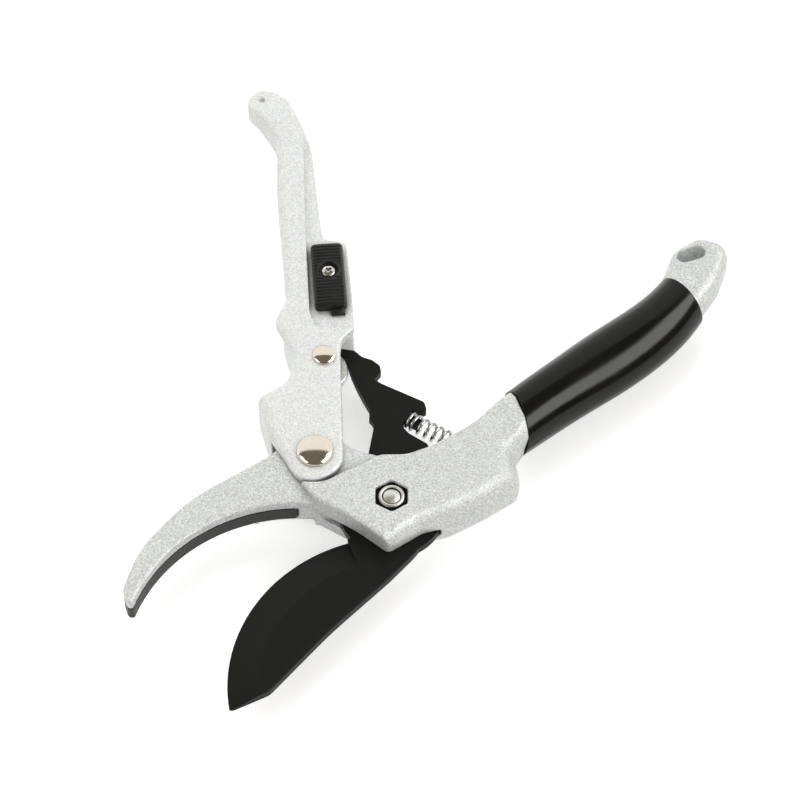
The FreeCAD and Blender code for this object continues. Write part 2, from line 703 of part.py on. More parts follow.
def make_blade():
    """The blade and its tail, cut from one plate, with the bevel on the near side."""
    edge_centre = turned(jaw_centre, blade_travel)
    edge_radius = jaw_radius - edge_gap
    jaw = chamfered(slab(rounded_face(jaw_blade_shares), blade_bottom, blade_top))
    jaw = jaw.common(disc(edge_centre, edge_radius, blade_bottom, blade_top))
    jaw = jaw.cut(bevel_cut(edge_centre, edge_radius))
    tail = chamfered(slab(rounded_face(tail_outline_shares), blade_bottom, blade_top))
    tail = tail.cut(cam_cut())
    hub = disc((0, 0), hub_radius, blade_bottom, blade_top)
    start, seat, length, along = spring_frame()
    middle = start + along * (tongue_length / 2 - overrun)
    angle = math.degrees(math.atan2(along.y, along.x))
    tongue = bar((middle.x, middle.y), angle, tongue_length + 2 * overrun, tongue_width,
                 blade_bottom, blade_top, tongue_corner)
    blade = hub.fuse([jaw, tail, tongue]).removeSplitter()
    return blade.cut(disc((0, 0), bush_radius + running_gap, blade_bottom - overrun, blade_top + overrun))


def chamfered(plate):
    """The plate with the rim of its near side broken by a small chamfer."""
    return plate.makeChamfer(blade_edge_chamfer, edges_at(plate, blade_top))


def bevel_cut(centre, radius):
    """The wedge ground off the near side, from the cutting edge inwards."""
    middle = point(centre[0], centre[1])
    low = blade_bottom + edge_land
    inner = point(radius - bevel_width, 0, blade_top)
    outside = radius + overrun
    corners = [point(outside, 0, blade_top + overrun), point(outside, 0, low), point(radius, 0, low)]
    face = Part.Face(Part.makePolygon([inner] + corners + [inner]))
    face.rotate(point(0, 0), up, insert_from_angle + bevel_start_turn)
    face.translate(middle)
    return face.revolve(middle, up, bevel_end_turn - bevel_start_turn)


def make_lever():
    """The left handle: two cheeks, a web on the outer side and a flat recess for the lock."""
    lever = slab(rounded_face(lever_outline_shares), lever_bottom, lever_top)
    lever = softened(lever, (lever_bottom, lever_top), lever_edge_radius)
    outer = slab(rounded_face(lever_outer_shares), lever_bottom, lever_top)
    lever = lever.common(softened(outer, (lever_bottom, lever_top), lever_outer_radius))
    hollow_face = rounded_face(lever_hollow_shares)
    upper = slab(hollow_face, lever_inner_bottom, hollow_top)
    limit = bar(main_rivet, hollow_limit_turn, 2 * hollow_limit_share * drawing_size, drawing_size,
                lever_inner_bottom, lever_inner_top)
    lower = slab(hollow_face, lever_inner_bottom, lever_inner_top).common(limit)
    recess = slab(rounded_face(recess_outline_shares), recess_floor, lever_top + overrun)
    bulge_room = slab(rounded_face(bulge_room_shares), lever_bottom - overrun, lever_inner_top)
    holes = [disc(main_rivet, main_rivet_radius + fixed_gap, lever_bottom - overrun, lever_top + overrun),
             disc(roller_place, roller_rivet_radius + fixed_gap, lever_bottom - overrun, lever_top + overrun)]
    place = [share * drawing_size for share in end_mark_shares]
    mark = Part.makeSphere(end_mark_radius, point(place[0], place[1], lever_top - end_mark_drop))
    return lever.cut([upper, lower, recess, bulge_room, lock_slot()] + holes).common(lever_side()).cut(mark)


def lever_side():
    """The lever's shape from the side, thinner at its end, as a wide block that it is cut to."""
    width = 2 * drawing_size
    thickness_share = (lever_top - lever_bottom) / drawing_size
    bottom_share = lever_bottom / drawing_size
    shares = [(x, bottom_share + z * thickness_share, radius) for x, z, radius in lever_side_shares]
    side = rounded_face(shares)
    side.rotate(point(0, 0), point(1, 0), 90)
    side.translate(point(0, width / 2))
    block = side.extrude(point(0, -width))
    block.rotate(point(0, 0), up, lever_end_turn)
    block.translate(point(main_rivet[0], main_rivet[1]))
    return block


def screw_place():
    shift = slider_well_share * slider_length
    return (slider_centre[0] + shift * slide_direction[0], slider_centre[1] + shift * slide_direction[1])


def lock_slot():
    """The slot in the recess's floor in which the lock's post slides."""
    place = screw_place()
    middle = (place[0] - slide_direction[0] * lock_travel / 2, place[1] - slide_direction[1] * lock_travel / 2)
    radius = lock_post_radius + lock_slot_gap
    length = lock_travel + 2 * radius
    return bar(middle, slider_turn, length, 2 * radius, hollow_top - overrun, recess_floor + overrun, radius)


def make_main_rivet():
    """The large domed rivet that joins the lever and the body."""
    low = lever_bottom - main_washer_thickness
    shank = disc(main_rivet, main_rivet_radius, low, lever_top)
    head = dome(main_rivet, main_head_radius, main_head_height, lever_top, up)
    tail = dome(main_rivet, main_tail_radius, main_tail_height, low, down)
    return shank.fuse([head, tail]).removeSplitter()


def make_main_washer():
    low = lever_bottom - main_washer_thickness + fixed_gap
    return ring(main_rivet, main_washer_radius, main_rivet_radius + fixed_gap, low, lever_bottom - fixed_gap)


def make_roller_rivet():
    """The small domed rivet that carries the roller."""
    shank = disc(roller_place, roller_rivet_radius, lever_bottom, lever_top)
    head = dome(roller_place, roller_head_radius, roller_head_height, lever_top, up)
    tail = dome(roller_place, roller_head_radius, roller_head_height, lever_bottom, down)
    return shank.fuse([head, tail]).removeSplitter()


def make_roller():
    """The steel roller that pushes the blade's tail."""
    low = blade_middle - roller_thickness / 2
    high = low + roller_thickness
    wheel = disc(roller_place, roller_radius, low, high)
    wheel = wheel.makeChamfer(roller_chamfer, edges_at(wheel, low) + edges_at(wheel, high))
    return wheel.cut(disc(roller_place, roller_rivet_radius + running_gap, low - overrun, high + overrun))


def make_roller_spacer(low, high):
    return ring(roller_place, spacer_radius, roller_rivet_radius + fixed_gap, low, high)


def slider_base():
    return recess_floor + 2 * fixed_gap


def make_slider():
    """The ribbed thumb slider, with a round well for its screw."""
    low = slider_base()
    high = low + slider_height
    solid = bar(slider_centre, slider_turn, slider_length, slider_width, low, high, slider_corner)
    pitch = slider_length / (slider_ribs + 1)
    grooves = []
    for index in range(slider_ribs):
        along = -slider_length / 2 + pitch * (index + 1)
        place = (slider_centre[0] + slide_direction[0] * along, slider_centre[1] + slide_direction[1] * along)
        grooves.append(bar(place, slider_turn, pitch / 2, slider_width - 2 * slider_corner,
                           high - slider_rib_depth, high + overrun))
    collar = disc(screw_place(), slider_well_radius + slider_rib_depth * 2, low, high)
    tab_along = -(slider_length + slider_tab_length) / 2
    tab_across = (slider_width - slider_tab_width) / 2 - slider_corner / 2
    tab_place = turned((tab_along, -tab_across), slider_turn)
    tab = bar((slider_centre[0] + tab_place[0], slider_centre[1] + tab_place[1]), slider_turn,
              slider_tab_length + 2 * slider_rib_depth, slider_tab_width, low, low + slider_tab_height)
    solid = solid.cut(grooves).fuse([collar, tab])
    well = disc(screw_place(), slider_well_radius, high - slider_well_depth, high + overrun)
    hole = disc(screw_place(), screw_radius + running_gap, low - overrun, high + overrun)
    return solid.cut([well, hole, detent_room()]).removeSplitter()


def detent_place():
    shift = detent_place_share * slider_length
    return (slider_centre[0] + shift * slide_direction[0], slider_centre[1] + shift * slide_direction[1])


def detent_room():
    low = slider_base() - overrun
    high = slider_base() + detent_thickness + detent_rise + fixed_gap
    gap = 2 * rubbing_gap
    return bar(detent_place(), slider_turn, detent_length + gap, detent_width + gap, low, high)


def make_detent():
    """The bowed leaf under the slider that holds it at either end of its travel."""
    low = slider_base()
    half = detent_length / 2
    rise = detent_rise
    bow = Part.Arc(point(-half, 0, 0), point(0, 0, rise), point(half, 0, 0)).toShape()
    strip = bow.extrude(point(0, detent_width))
    leaf = strip.extrude(up * detent_thickness)
    leaf.translate(point(0, -detent_width / 2))
    leaf.rotate(point(0, 0), up, slider_turn)
    place = detent_place()
    leaf.translate(point(place[0], place[1], low))
    return leaf


def make_lock_plate():
    """The steel plate under the slider whose tooth catches the tail when the pruner is closed."""
    low = blade_middle - lock_plate_thickness / 2
    plate = slab(rounded_face(lock_plate_shares), low, low + lock_plate_thickness)
    post = disc(screw_place(), lock_post_radius, low, slider_base() - fixed_gap)
    hole = disc(screw_place(), screw_radius + fixed_gap, blade_middle, slider_base() + overrun)
    return plate.fuse(post).cut(hole).removeSplitter()


def make_lock_screw():
    """The cross-head screw that joins the slider to its plate."""
    place = screw_place()
    base = slider_base() + slider_height - slider_well_depth + fixed_gap
    head = disc(place, screw_head_radius, base, base + screw_head_height)
    head = softened(head, (base + screw_head_height,), screw_head_height / 2)
    length = 2 * screw_head_radius - screw_cross_width
    cuts = []
    for turn in (0, 90):
        cuts.append(bar(place, slider_turn + turn, length, screw_cross_width,
                        base + screw_head_height - screw_cross_depth, base + screw_head_height + overrun))
    shank = disc(place, screw_radius, blade_middle + fixed_gap, base)
    return head.cut(cuts).fuse(shank).removeSplitter()


def spring_points(start, length, along):
    """Places along the spring's wire, a quarter turn apart, and the direction of travel at each."""
    side = FreeCAD.Vector(0, 0, 1)
    across = along.cross(side)
    closed = spring_end_turns
    tight = spring_wire + spring_end_gap
    open_turns = spring_turns - 2 * closed
    open_pitch = (length - spring_wire - 2 * closed * tight) / open_turns
    places = []
    quarters = 4 * spring_turns
    travelled = spring_wire / 2
    for index in range(quarters + 1):
        angle = math.radians(90 * index)
        outward = across * math.cos(angle) + side * math.sin(angle)
        heading = side * math.cos(angle) - across * math.sin(angle)
        turn = index / 4
        tight_now = turn < closed or turn >= spring_turns - closed
        pitch = tight if tight_now else open_pitch
        before = tight if (turn <= closed or turn > spring_turns - closed) else open_pitch
        slope = (pitch + before) / 2 / (2 * math.pi * spring_radius)
        tangent = heading + along * slope
        tangent.normalize()
        places.append((start + along * travelled + outward * spring_radius, tangent))
        travelled += pitch / 4
    return places


def biarc(first, first_way, last, last_way):
    """Two arcs that leave and arrive along given directions."""
    chord = last - first
    both = first_way + last_way
    square = both.dot(both)
    beside = chord.dot(both)
    denominator = 2 * (1 - first_way.dot(last_way))
    reach = (-beside + math.sqrt(beside * beside + denominator * chord.dot(chord))) / denominator
    left = first + first_way * reach
    right = last - last_way * reach
    joint = (left + right) * 0.5
    return [arc_between(first, first_way, joint), arc_between(last, last_way * -1, joint)]


def arc_between(start, way, end):
    """The arc that leaves a place along a direction and ends at another place."""
    chord = end - start
    sideways = way.cross(chord).cross(way)
    sideways.normalize()
    radius = chord.dot(chord) / (2 * chord.dot(sideways))
    centre = start + sideways * radius
    middle = (start + end) * 0.5 - centre
    middle.normalize()
    return Part.Arc(start, centre + middle * radius, end).toShape()


def make_spring():
    """The opening spring, one unbroken wire from the tail's pocket to the seat in the neck."""
    start, seat, length, along = spring_frame()
    length = length - 2 * spring_seat_gap
    start = start + along * spring_seat_gap
    places = spring_points(start, length, along)
    edges = []
    for (here, way), (there, way_there) in zip(places, places[1:]):
        edges += biarc(here, way, there, way_there)
    path = Part.Wire(Part.__sortEdges__(edges))
    section = Part.Circle(places[0][0], places[0][1], spring_wire / 2).toShape()
    tube = Part.BRepOffsetAPI.MakePipeShell(path)
    tube.add(Part.Wire(section))
    tube.build()
    tube.makeSolid()
    report_spring(path)
    return tube.shape()


def report_spring(path):
    """Print the least gap between neighbouring turns, measured on points along the wire."""
    samples = path.discretize(Number=40 * spring_turns)
    per_turn = 40
    least = drawing_size
    for index, here in enumerate(samples):
        for other in range(index + per_turn // 2, min(index + 2 * per_turn, len(samples))):
            least = min(least, here.distanceToPoint(samples[other]) - spring_wire)
    print("least gap between spring turns:", round(least, 3))


def main():
    os.makedirs("parts", exist_ok=True)
    roller_low = blade_middle - roller_thickness / 2
    roller_high = roller_low + roller_thickness
    pins = insert_pins(0)
    pieces = {
        "body_casting": make_body(),
        "hook_insert": make_insert(),
        "insert_pin_inner": pins[0],
        "insert_pin_outer": pins[1],
        "handle_sleeve": make_sleeve(),
        "pivot_bolt": make_bolt(),
        "pivot_bush": make_bush(),
        "pivot_nut": make_nut(),
        "nut_ring": make_nut_ring(),
        "blade": make_blade(),
        "lever_casting": make_lever(),
        "main_rivet": make_main_rivet(),
        "main_rivet_washer": make_main_washer(),
        "roller_rivet": make_roller_rivet(),
        "drive_roller": make_roller(),
        "roller_spacer_near": make_roller_spacer(roller_high + running_gap, lever_inner_top - fixed_gap),
        "roller_spacer_far": make_roller_spacer(lever_inner_bottom + fixed_gap, roller_low - running_gap),
        "lock_slider": make_slider(),
        "lock_plate": make_lock_plate(),
        "lock_screw": make_lock_screw(),
        "lock_detent_spring": make_detent(),
        "opening_spring": make_spring(),
    }
    box = FreeCAD.BoundBox()
    for shape in pieces.values():
        box.add(shape.optimalBoundingBox())
    shift = point(-box.Center.x, -box.Center.y, -box.ZMin)
    for name, shape in pieces.items():
        placed = shape.copy()
        placed.translate(shift)
        placed.exportStep("parts/" + name + ".step")
        print(name, "solids", len(placed.Solids), "valid", placed.isValid(), "volume", round(placed.Volume, 1))
    print("blade pivot at", [round(value, 3) for value in shift])
    print("main rivet at", round(main_rivet[0] + shift.x, 3), round(main_rivet[1] + shift.y, 3))
    print("roller at", round(roller_place[0] + shift.x, 3), round(roller_place[1] + shift.y, 3))
    print("size", round(box.XLength, 2), round(box.YLength, 2), round(box.ZLength, 2))


main()
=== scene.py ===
import json
import math

import bmesh
import bpy
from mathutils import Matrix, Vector


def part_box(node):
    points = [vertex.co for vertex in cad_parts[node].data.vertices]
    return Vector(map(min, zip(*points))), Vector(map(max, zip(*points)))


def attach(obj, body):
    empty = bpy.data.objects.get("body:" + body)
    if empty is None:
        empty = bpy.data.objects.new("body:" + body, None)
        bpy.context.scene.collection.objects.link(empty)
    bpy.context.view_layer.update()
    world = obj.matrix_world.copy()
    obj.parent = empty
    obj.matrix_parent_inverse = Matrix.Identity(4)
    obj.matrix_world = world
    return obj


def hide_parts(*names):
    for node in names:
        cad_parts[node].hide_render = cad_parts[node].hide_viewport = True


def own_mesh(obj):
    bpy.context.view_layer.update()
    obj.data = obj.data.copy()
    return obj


bl_info = {
    "name": "Hand pruner",
    "version": (1, 0, 0),
    "blender": (4, 5, 0),
    "location": "3D View > Sidebar > Pruner",
    "description": "Dresses the pruner's solids with paint, vinyl, coating and steel, and lights it",
    "category": "Object",
}

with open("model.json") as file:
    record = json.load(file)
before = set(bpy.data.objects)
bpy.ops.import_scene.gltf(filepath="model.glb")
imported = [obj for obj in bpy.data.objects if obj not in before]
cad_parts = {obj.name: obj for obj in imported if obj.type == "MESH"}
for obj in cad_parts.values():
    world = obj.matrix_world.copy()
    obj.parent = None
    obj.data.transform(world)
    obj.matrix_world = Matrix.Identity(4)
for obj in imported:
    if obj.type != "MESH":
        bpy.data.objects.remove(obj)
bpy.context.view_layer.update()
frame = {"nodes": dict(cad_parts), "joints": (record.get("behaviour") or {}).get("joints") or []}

# Places in the drawing are in millimetres about the blade's pivot, from the body's back face up
MM = 0.001
BLADE_MIDDLE = 6.7
pivot = next(joint["pos_m"] for joint in frame["joints"] if joint["name"] == "blade_pivot")

# Sides of a turned piece, and of the finer turned screw head
AROUND = 96
SCREW_AROUND = 128
DOME_STEPS = 14


def place(x, y, z=0.0):
    """A place in the drawing, in metres in the object's frame."""
    return Vector((pivot[0] + x * MM, pivot[1] + y * MM, pivot[2] + (z - BLADE_MIDDLE) * MM))


def clamped(share):
    return min(1.0, max(0.0, share))


# Meshes

def new_piece(name, vertices, faces, body, material, sharp=40.0):
    """A mesh that rides on a body, shaded smooth but for its sharp edges."""
    mesh = bpy.data.meshes.new(name)
    mesh.from_pydata(vertices, [], faces)
    mesh.shade_smooth()
    mesh.set_sharp_from_angle(angle=math.radians(sharp))
    mesh.materials.append(material)
    piece = bpy.data.objects.new(name, mesh)
    bpy.context.scene.collection.objects.link(piece)
    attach(piece, body)
    return piece


def middle_of(node):
    low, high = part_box(node)
    return (low + high) / 2


def in_metres(profile):
    return [(radius * MM, height * MM) for radius, height in profile]


def turned_mesh(middle, profile, around=AROUND, carved=None):
    """Vertices and faces of a turned shape: its profile runs from the bottom middle to the top."""
    vertices = []
    rings = []
    for radius, height in profile:
        if radius == 0.0:
            rings.append([len(vertices)])
            vertices.append((middle.x, middle.y, height))
            continue
        ring = []
        for step in range(around):
            angle = 2 * math.pi * step / around
            along = radius * math.cos(angle)
            across = radius * math.sin(angle)
            lowered = carved(along, across, height) if carved else height
            ring.append(len(vertices))
            vertices.append((middle.x + along, middle.y + across, lowered))
        rings.append(ring)
    faces = []
    for below, above in zip(rings, rings[1:]):
        for step in range(around):
            after = (step + 1) % around
            if len(below) == 1:
                faces.append((below[0], above[after], above[step]))
            elif len(above) == 1:
                faces.append((below[step], below[after], above[0]))
            else:
                faces.append((below[step], below[after], above[after], above[step]))
    return vertices, faces


def head_profile(radius, base, rim, height):
    """Profile of a rivet head from its base up: a short upright rim, then half an ellipse."""
    profile = [(radius, base), (radius, base + rim)]
    for step in range(1, DOME_STEPS):
        angle = math.pi / 2 * step / DOME_STEPS
        dome = base + rim + (height - rim) * math.sin(angle)
        profile.append((radius * math.cos(angle), dome))
    return profile + [(0.0, base + height)]


# The insert's pins, in millimetres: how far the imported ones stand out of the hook's faces, then the
# radius and chamfer of the turned ones, and how much shorter they are at each end
PIN_PROUD = 0.25
PIN_RADIUS = 0.95
PIN_CHAMFER = 0.3
PIN_SUNK = 0.7
PIN_AROUND = 32


def cast_copy(node, name, body, material, shaped=None, painted_over=()):
    """A casting's solid on a fine grid, shaped and smoothed; painted-over pins end flush."""
    mesh = frame["nodes"][node].data.copy()
    mesh.name = name
    builder = bmesh.new()
    builder.from_mesh(mesh)
    for pin in painted_over:
        first = len(builder.verts)
        builder.from_mesh(frame["nodes"][pin].data)
        builder.verts.ensure_lookup_table()
        low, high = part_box(pin)
        for vertex in builder.verts[first:]:
            upper = max((low.z + high.z) / 2, vertex.co.z)
            vertex.co.z = min(high.z - PIN_PROUD * MM, upper)
    bmesh.ops.remove_doubles(builder, verts=builder.verts, dist=MM / 1000)
    builder.to_mesh(mesh)
    builder.free()
    piece = bpy.data.objects.new(name, mesh)
    bpy.context.scene.collection.objects.link(piece)
    grid = piece.modifiers.new("grid", "REMESH")
    grid.mode = "VOXEL"
    grid.voxel_size = sizes().casting_grid * MM
    apply_modifiers(piece)
    if shaped:
        for vertex in piece.data.vertices:
            vertex.co = shaped(vertex.co)
    soft = piece.modifiers.new("soft", "SMOOTH")
    soft.factor = 0.5
    soft.iterations = sizes().casting_softness
    apply_modifiers(piece)
    piece.data.shade_smooth()
    piece.data.materials.clear()
    piece.data.materials.append(material)
    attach(piece, body)
    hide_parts(node)


def apply_modifiers(piece):
    """Turns what the modifiers make into the piece's own mesh."""
    graph = bpy.context.evaluated_depsgraph_get()
    mesh = bpy.data.meshes.new_from_object(piece.evaluated_get(graph))
    old = piece.data
    piece.modifiers.clear()
    piece.data = mesh
    bpy.data.meshes.remove(old)


# Lower front edge of the body's raised plate, from the blade's mouth to the sleeve, in the drawing
FRONT_EDGE = (
    (-15.0, -13.0), (2.0, -14.6), (24.0, -17.0), (38.2, -17.2), (42.7, -6.6), (48.0, -4.5))
# Where the plate's front edge gets its rounding: heights, ends along the edge, how far from each end
# it comes in, and how far back it may reach
SHOULDER_TOP = 16.2
SHOULDER_BOTTOM = 9.0
SHOULDER_LEFT = -14.0
SHOULDER_RIGHT = 50.0
SHOULDER_LEFT_FADE = 16.0
SHOULDER_RIGHT_FADE = 8.0
SHOULDER_BACK = 5.0


def rounded_shoulder(spot):
    """Where a place on the body goes when the plate's front edge gets its broad rounding."""
    x = (spot.x - pivot[0]) / MM
    y = (spot.y - pivot[1]) / MM
    z = (spot.z - pivot[2]) / MM + BLADE_MIDDLE
    if z < SHOULDER_BOTTOM or y > SHOULDER_BACK or x < SHOULDER_LEFT or x > SHOULDER_RIGHT:
        return spot
    inside = inside_front(x, y)
    radius = sizes().shoulder * clamped((x - SHOULDER_LEFT) / SHOULDER_LEFT_FADE)
    radius *= clamped((SHOULDER_RIGHT - x) / SHOULDER_RIGHT_FADE)
    if inside >= radius or radius <= 0.0:
        return spot
    reach = radius - max(0.0, inside)
    drop = radius - math.sqrt(max(0.0, radius * radius - reach * reach))
    share = min(1.0, (z - SHOULDER_BOTTOM) / (SHOULDER_TOP - SHOULDER_BOTTOM))
    return Vector((spot.x, spot.y, spot.z - drop * share * MM))


def inside_front(x, y):
    """How far a place lies behind the plate's front edge, in millimetres; minus in front of it."""
    nearest = None
    for (x0, y0), (x1, y1) in zip(FRONT_EDGE, FRONT_EDGE[1:]):
        run = math.hypot(x1 - x0, y1 - y0)
        along = ((x - x0) * (x1 - x0) + (y - y0) * (y1 - y0)) / run
        beside = ((x1 - x0) * (y - y0) - (y1 - y0) * (x - x0)) / run
        away = math.hypot(max(0.0, -along, along - run), beside)
        if nearest is None or away < abs(nearest):
            nearest = away if beside >= 0 else -away
    return nearest


# Materials

# Sockets of the colour mixer: its two colours and its result
MIX_FIRST = 6
MIX_SECOND = 7
MIX_RESULT = 2


def add_node(tree, kind, inputs=None, **settings):
    """A shader node with its settings, and with its inputs set or linked."""
    made = tree.nodes.new(kind)
    for name, value in settings.items():
        setattr(made, name, value)
    for name, value in (inputs or {}).items():
        if isinstance(value, bpy.types.NodeSocket):
            tree.links.new(value, made.inputs[name])
        else:
            made.inputs[name].default_value = value
    return made


def new_material(name):
    """An empty material and its node tree."""
    material = bpy.data.materials.new(name)
    material.use_nodes = True
    tree = material.node_tree
    tree.nodes.clear()
    return material, tree


def finish_material(tree, inputs):
    """The surface shader, linked to the output."""
    surface = add_node(tree, "ShaderNodeBsdfPrincipled", inputs)
    add_node(tree, "ShaderNodeOutputMaterial", {"Surface": surface.outputs["BSDF"]})


def on_object(tree):
    return add_node(tree, "ShaderNodeTexCoord").outputs["Object"]


def maths(tree, operation, *values):
    """The result of a sum with numbers."""
    return add_node(
        tree, "ShaderNodeMath", dict(enumerate(values)), operation=operation).outputs[0]


def vector_maths(tree, operation, *values):
    """The result of a sum with directions or places."""
    made = add_node(tree, "ShaderNodeVectorMath", dict(enumerate(values)), operation=operation)
    return made.outputs["Value" if operation in ("LENGTH", "DOT_PRODUCT") else "Vector"]


def height_of(tree, vector):
    return add_node(tree, "ShaderNodeSeparateXYZ", {"Vector": vector}).outputs["Z"]


def noise(tree, scale, detail=3.0):
    made = add_node(tree, "ShaderNodeTexNoise", {
        "Vector": on_object(tree), "Scale": scale, "Detail": detail, "Roughness": 0.55})
    return made.outputs["Fac"]


def slow_noise(tree, vector, scale):
    """Slow cloud over any direction or place."""
    return add_node(tree, "ShaderNodeTexNoise", {"Vector": vector, "Scale": scale}).outputs["Fac"]


def drawn_noise(tree, stretch, detail, turn=0.0):
    """Noise drawn out into fine marks, by its scale along each axis and its turn in degrees."""
    drawn = add_node(tree, "ShaderNodeMapping", {
        "Vector": on_object(tree), "Scale": stretch, "Rotation": (0.0, 0.0, math.radians(turn))})
    made = add_node(tree, "ShaderNodeTexNoise", {
        "Vector": drawn.outputs["Vector"], "Scale": 1.0, "Detail": detail})
    return made.outputs["Fac"]


def spread(tree, value, low, high, bottom=0.0, top=1.0):
    """A value mapped from the span between bottom and top to the one between low and high."""
    made = add_node(tree, "ShaderNodeMapRange", {
        "Value": value, "From Min": bottom, "From Max": top, "To Min": low, "To Max": high})
    return made.outputs["Result"]


def varied(tree, value, low, high):
    """Spreads noise, which keeps near its middle, over the whole span."""
    return spread(tree, value, low, high, 0.3, 0.7)


def mixed(tree, factor, first, second, **settings):
    """Two colours or shades mixed by a factor."""
    made = add_node(
        tree, "ShaderNodeMix", {"Factor": factor, MIX_FIRST: first, MIX_SECOND: second},
        data_type="RGBA", **settings)
    return made.outputs[MIX_RESULT]


def tinted(tree, factor, dark, light):
    """A colour between two plain ones, by a factor."""
    return mixed(tree, factor, (*dark, 1.0), (*light, 1.0))


def darkened(tree, colour, share):
    """A colour multiplied by a share."""
    return mixed(tree, 1.0, colour, share, blend_type="MULTIPLY")


def scaled(colour, factor):
    return tuple(min(1.0, part * factor) for part in colour[:3])


def bumped(tree, height, strength, distance):
    made = add_node(tree, "ShaderNodeBump", {
        "Height": height, "Strength": strength, "Distance": distance})
    return made.outputs["Normal"]


def painted_corner_shade(tree, own_shade_only=True, reach=4.0, darkest=0.22):
    """Painted shade from an ambient occlusion node: 1 on open faces, down to a dark share in corners,
    gaps and holes.
    """
    hollow = add_node(
        tree, "ShaderNodeAmbientOcclusion", {"Distance": reach * MM},
        samples=8, only_local=own_shade_only)
    return spread(tree, hollow.outputs["AO"], darkest, 1.0, 0.25, 0.9)


def silver_paint(name, colour, grain, contrast, own_shade_only=True):
    """Silver metallic paint: fine flakes that differ in brightness and tilt, with painted shade
    darkening its corners.
    """
    material, tree = new_material(name)
    flakes = add_node(tree, "ShaderNodeTexVoronoi", {
        "Vector": on_object(tree), "Scale": 1.0 / (grain * MM)})
    flake = add_node(tree, "ShaderNodeSeparateColor", {"Color": flakes.outputs["Color"]})
    clouded = maths(tree, "MULTIPLY_ADD", flake.outputs["Red"], 0.8, noise(tree, 2800.0, 2.0))
    shade = tinted(
        tree, spread(tree, clouded, 0.0, 1.0, 0.35, 1.45),
        scaled(colour, 1.0 - contrast), scaled(colour, 1.0 + contrast / 2))
    height = maths(tree, "MULTIPLY_ADD", flake.outputs["Blue"], 0.5, noise(tree, 3000.0))
    # The base colour carries painted shade, darker in corners, gaps and holes.
    finish_material(tree, {
        "Base Color": darkened(tree, shade, painted_corner_shade(tree, own_shade_only)),
        "Metallic": 0.28, "Specular IOR Level": 0.25,
        "Roughness": spread(tree, flake.outputs["Green"], 0.44, 0.6),
        "Normal": bumped(tree, height, 0.25 + contrast, 0.00012)})
    return material


def black_coating(name, colour, roughness, shine):
    """A thin black coating on ground steel, with faint grinding marks."""
    material, tree = new_material(name)
    marks = drawn_noise(tree, (300.0, 2400.0, 300.0), 3.0, 28.0)
    finish_material(tree, {
        "Base Color": tinted(tree, noise(tree, 60.0), scaled(colour, 0.8), scaled(colour, 1.25)),
        "Metallic": 0.0, "Specular IOR Level": shine,
        "Roughness": varied(tree, marks, roughness - 0.07, roughness + 0.07),
        "Normal": bumped(tree, marks, 0.05, 0.00005)})
    return material


def gloss_vinyl(name, colour, roughness):
    """Soft glossy vinyl with a slightly uneven dipped skin."""
    material, tree = new_material(name)
    slow = noise(tree, 45.0, 2.0)
    finish_material(tree, {
        "Base Color": tinted(tree, noise(tree, 90.0), scaled(colour, 0.8), scaled(colour, 1.3)),
        "Specular IOR Level": 0.22,
        "Roughness": varied(tree, slow, roughness - 0.03, roughness + 0.05),
        "Normal": bumped(tree, slow, 0.12, 0.0006)})
    return material


def matt_plastic(name, colour, roughness):
    """Moulded black plastic with a fine spark-eroded texture."""
    material, tree = new_material(name)
    fine = noise(tree, 2600.0, 2.0)
    finish_material(tree, {
        "Base Color": tinted(tree, noise(tree, 220.0), scaled(colour, 0.75), scaled(colour, 1.35)),
        "Specular IOR Level": 0.35,
        "Roughness": varied(tree, fine, roughness - 0.08, roughness + 0.08),
        "Normal": bumped(tree, fine, 0.2, 0.00006)})
    return material


def bright_plate(name, colour, roughness, wear, shade_reach=0.0):
    """Plated steel, polished, with faint clouding; with painted shade in its corners where a reach
    for it is given.
    """
    material, tree = new_material(name)
    cloud = noise(tree, 500.0, 4.0)
    shade = tinted(tree, cloud, scaled(colour, 1.0 - wear), scaled(colour, 1.03))
    # Painted shade: darker in the corners within the given reach.
    if shade_reach:
        shade = darkened(tree, shade, painted_corner_shade(tree, True, shade_reach, 0.05))
    finish_material(tree, {
        "Base Color": shade, "Metallic": 1.0,
        "Roughness": varied(tree, cloud, roughness * 0.7, roughness * 1.6),
        "Normal": bumped(tree, noise(tree, 900.0), 0.05, 0.00005)})
    return material


def plain_steel(name, colour, roughness):
    """Turned or stamped steel with a brushed grain."""
    material, tree = new_material(name)
    grain = drawn_noise(tree, (400.0, 400.0, 3500.0), 4.0)
    finish_material(tree, {
        "Base Color": tinted(tree, grain, scaled(colour, 0.78), scaled(colour, 1.1)),
        "Metallic": 1.0,
        "Roughness": varied(tree, grain, roughness - 0.08, roughness + 0.1),
        "Normal": bumped(tree, grain, 0.12, 0.00004)})
    return material


def dress(node, material):
    """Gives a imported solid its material."""
    solid = frame["nodes"][node]
    for slot in solid.material_slots:
        slot.material = material


# Settings

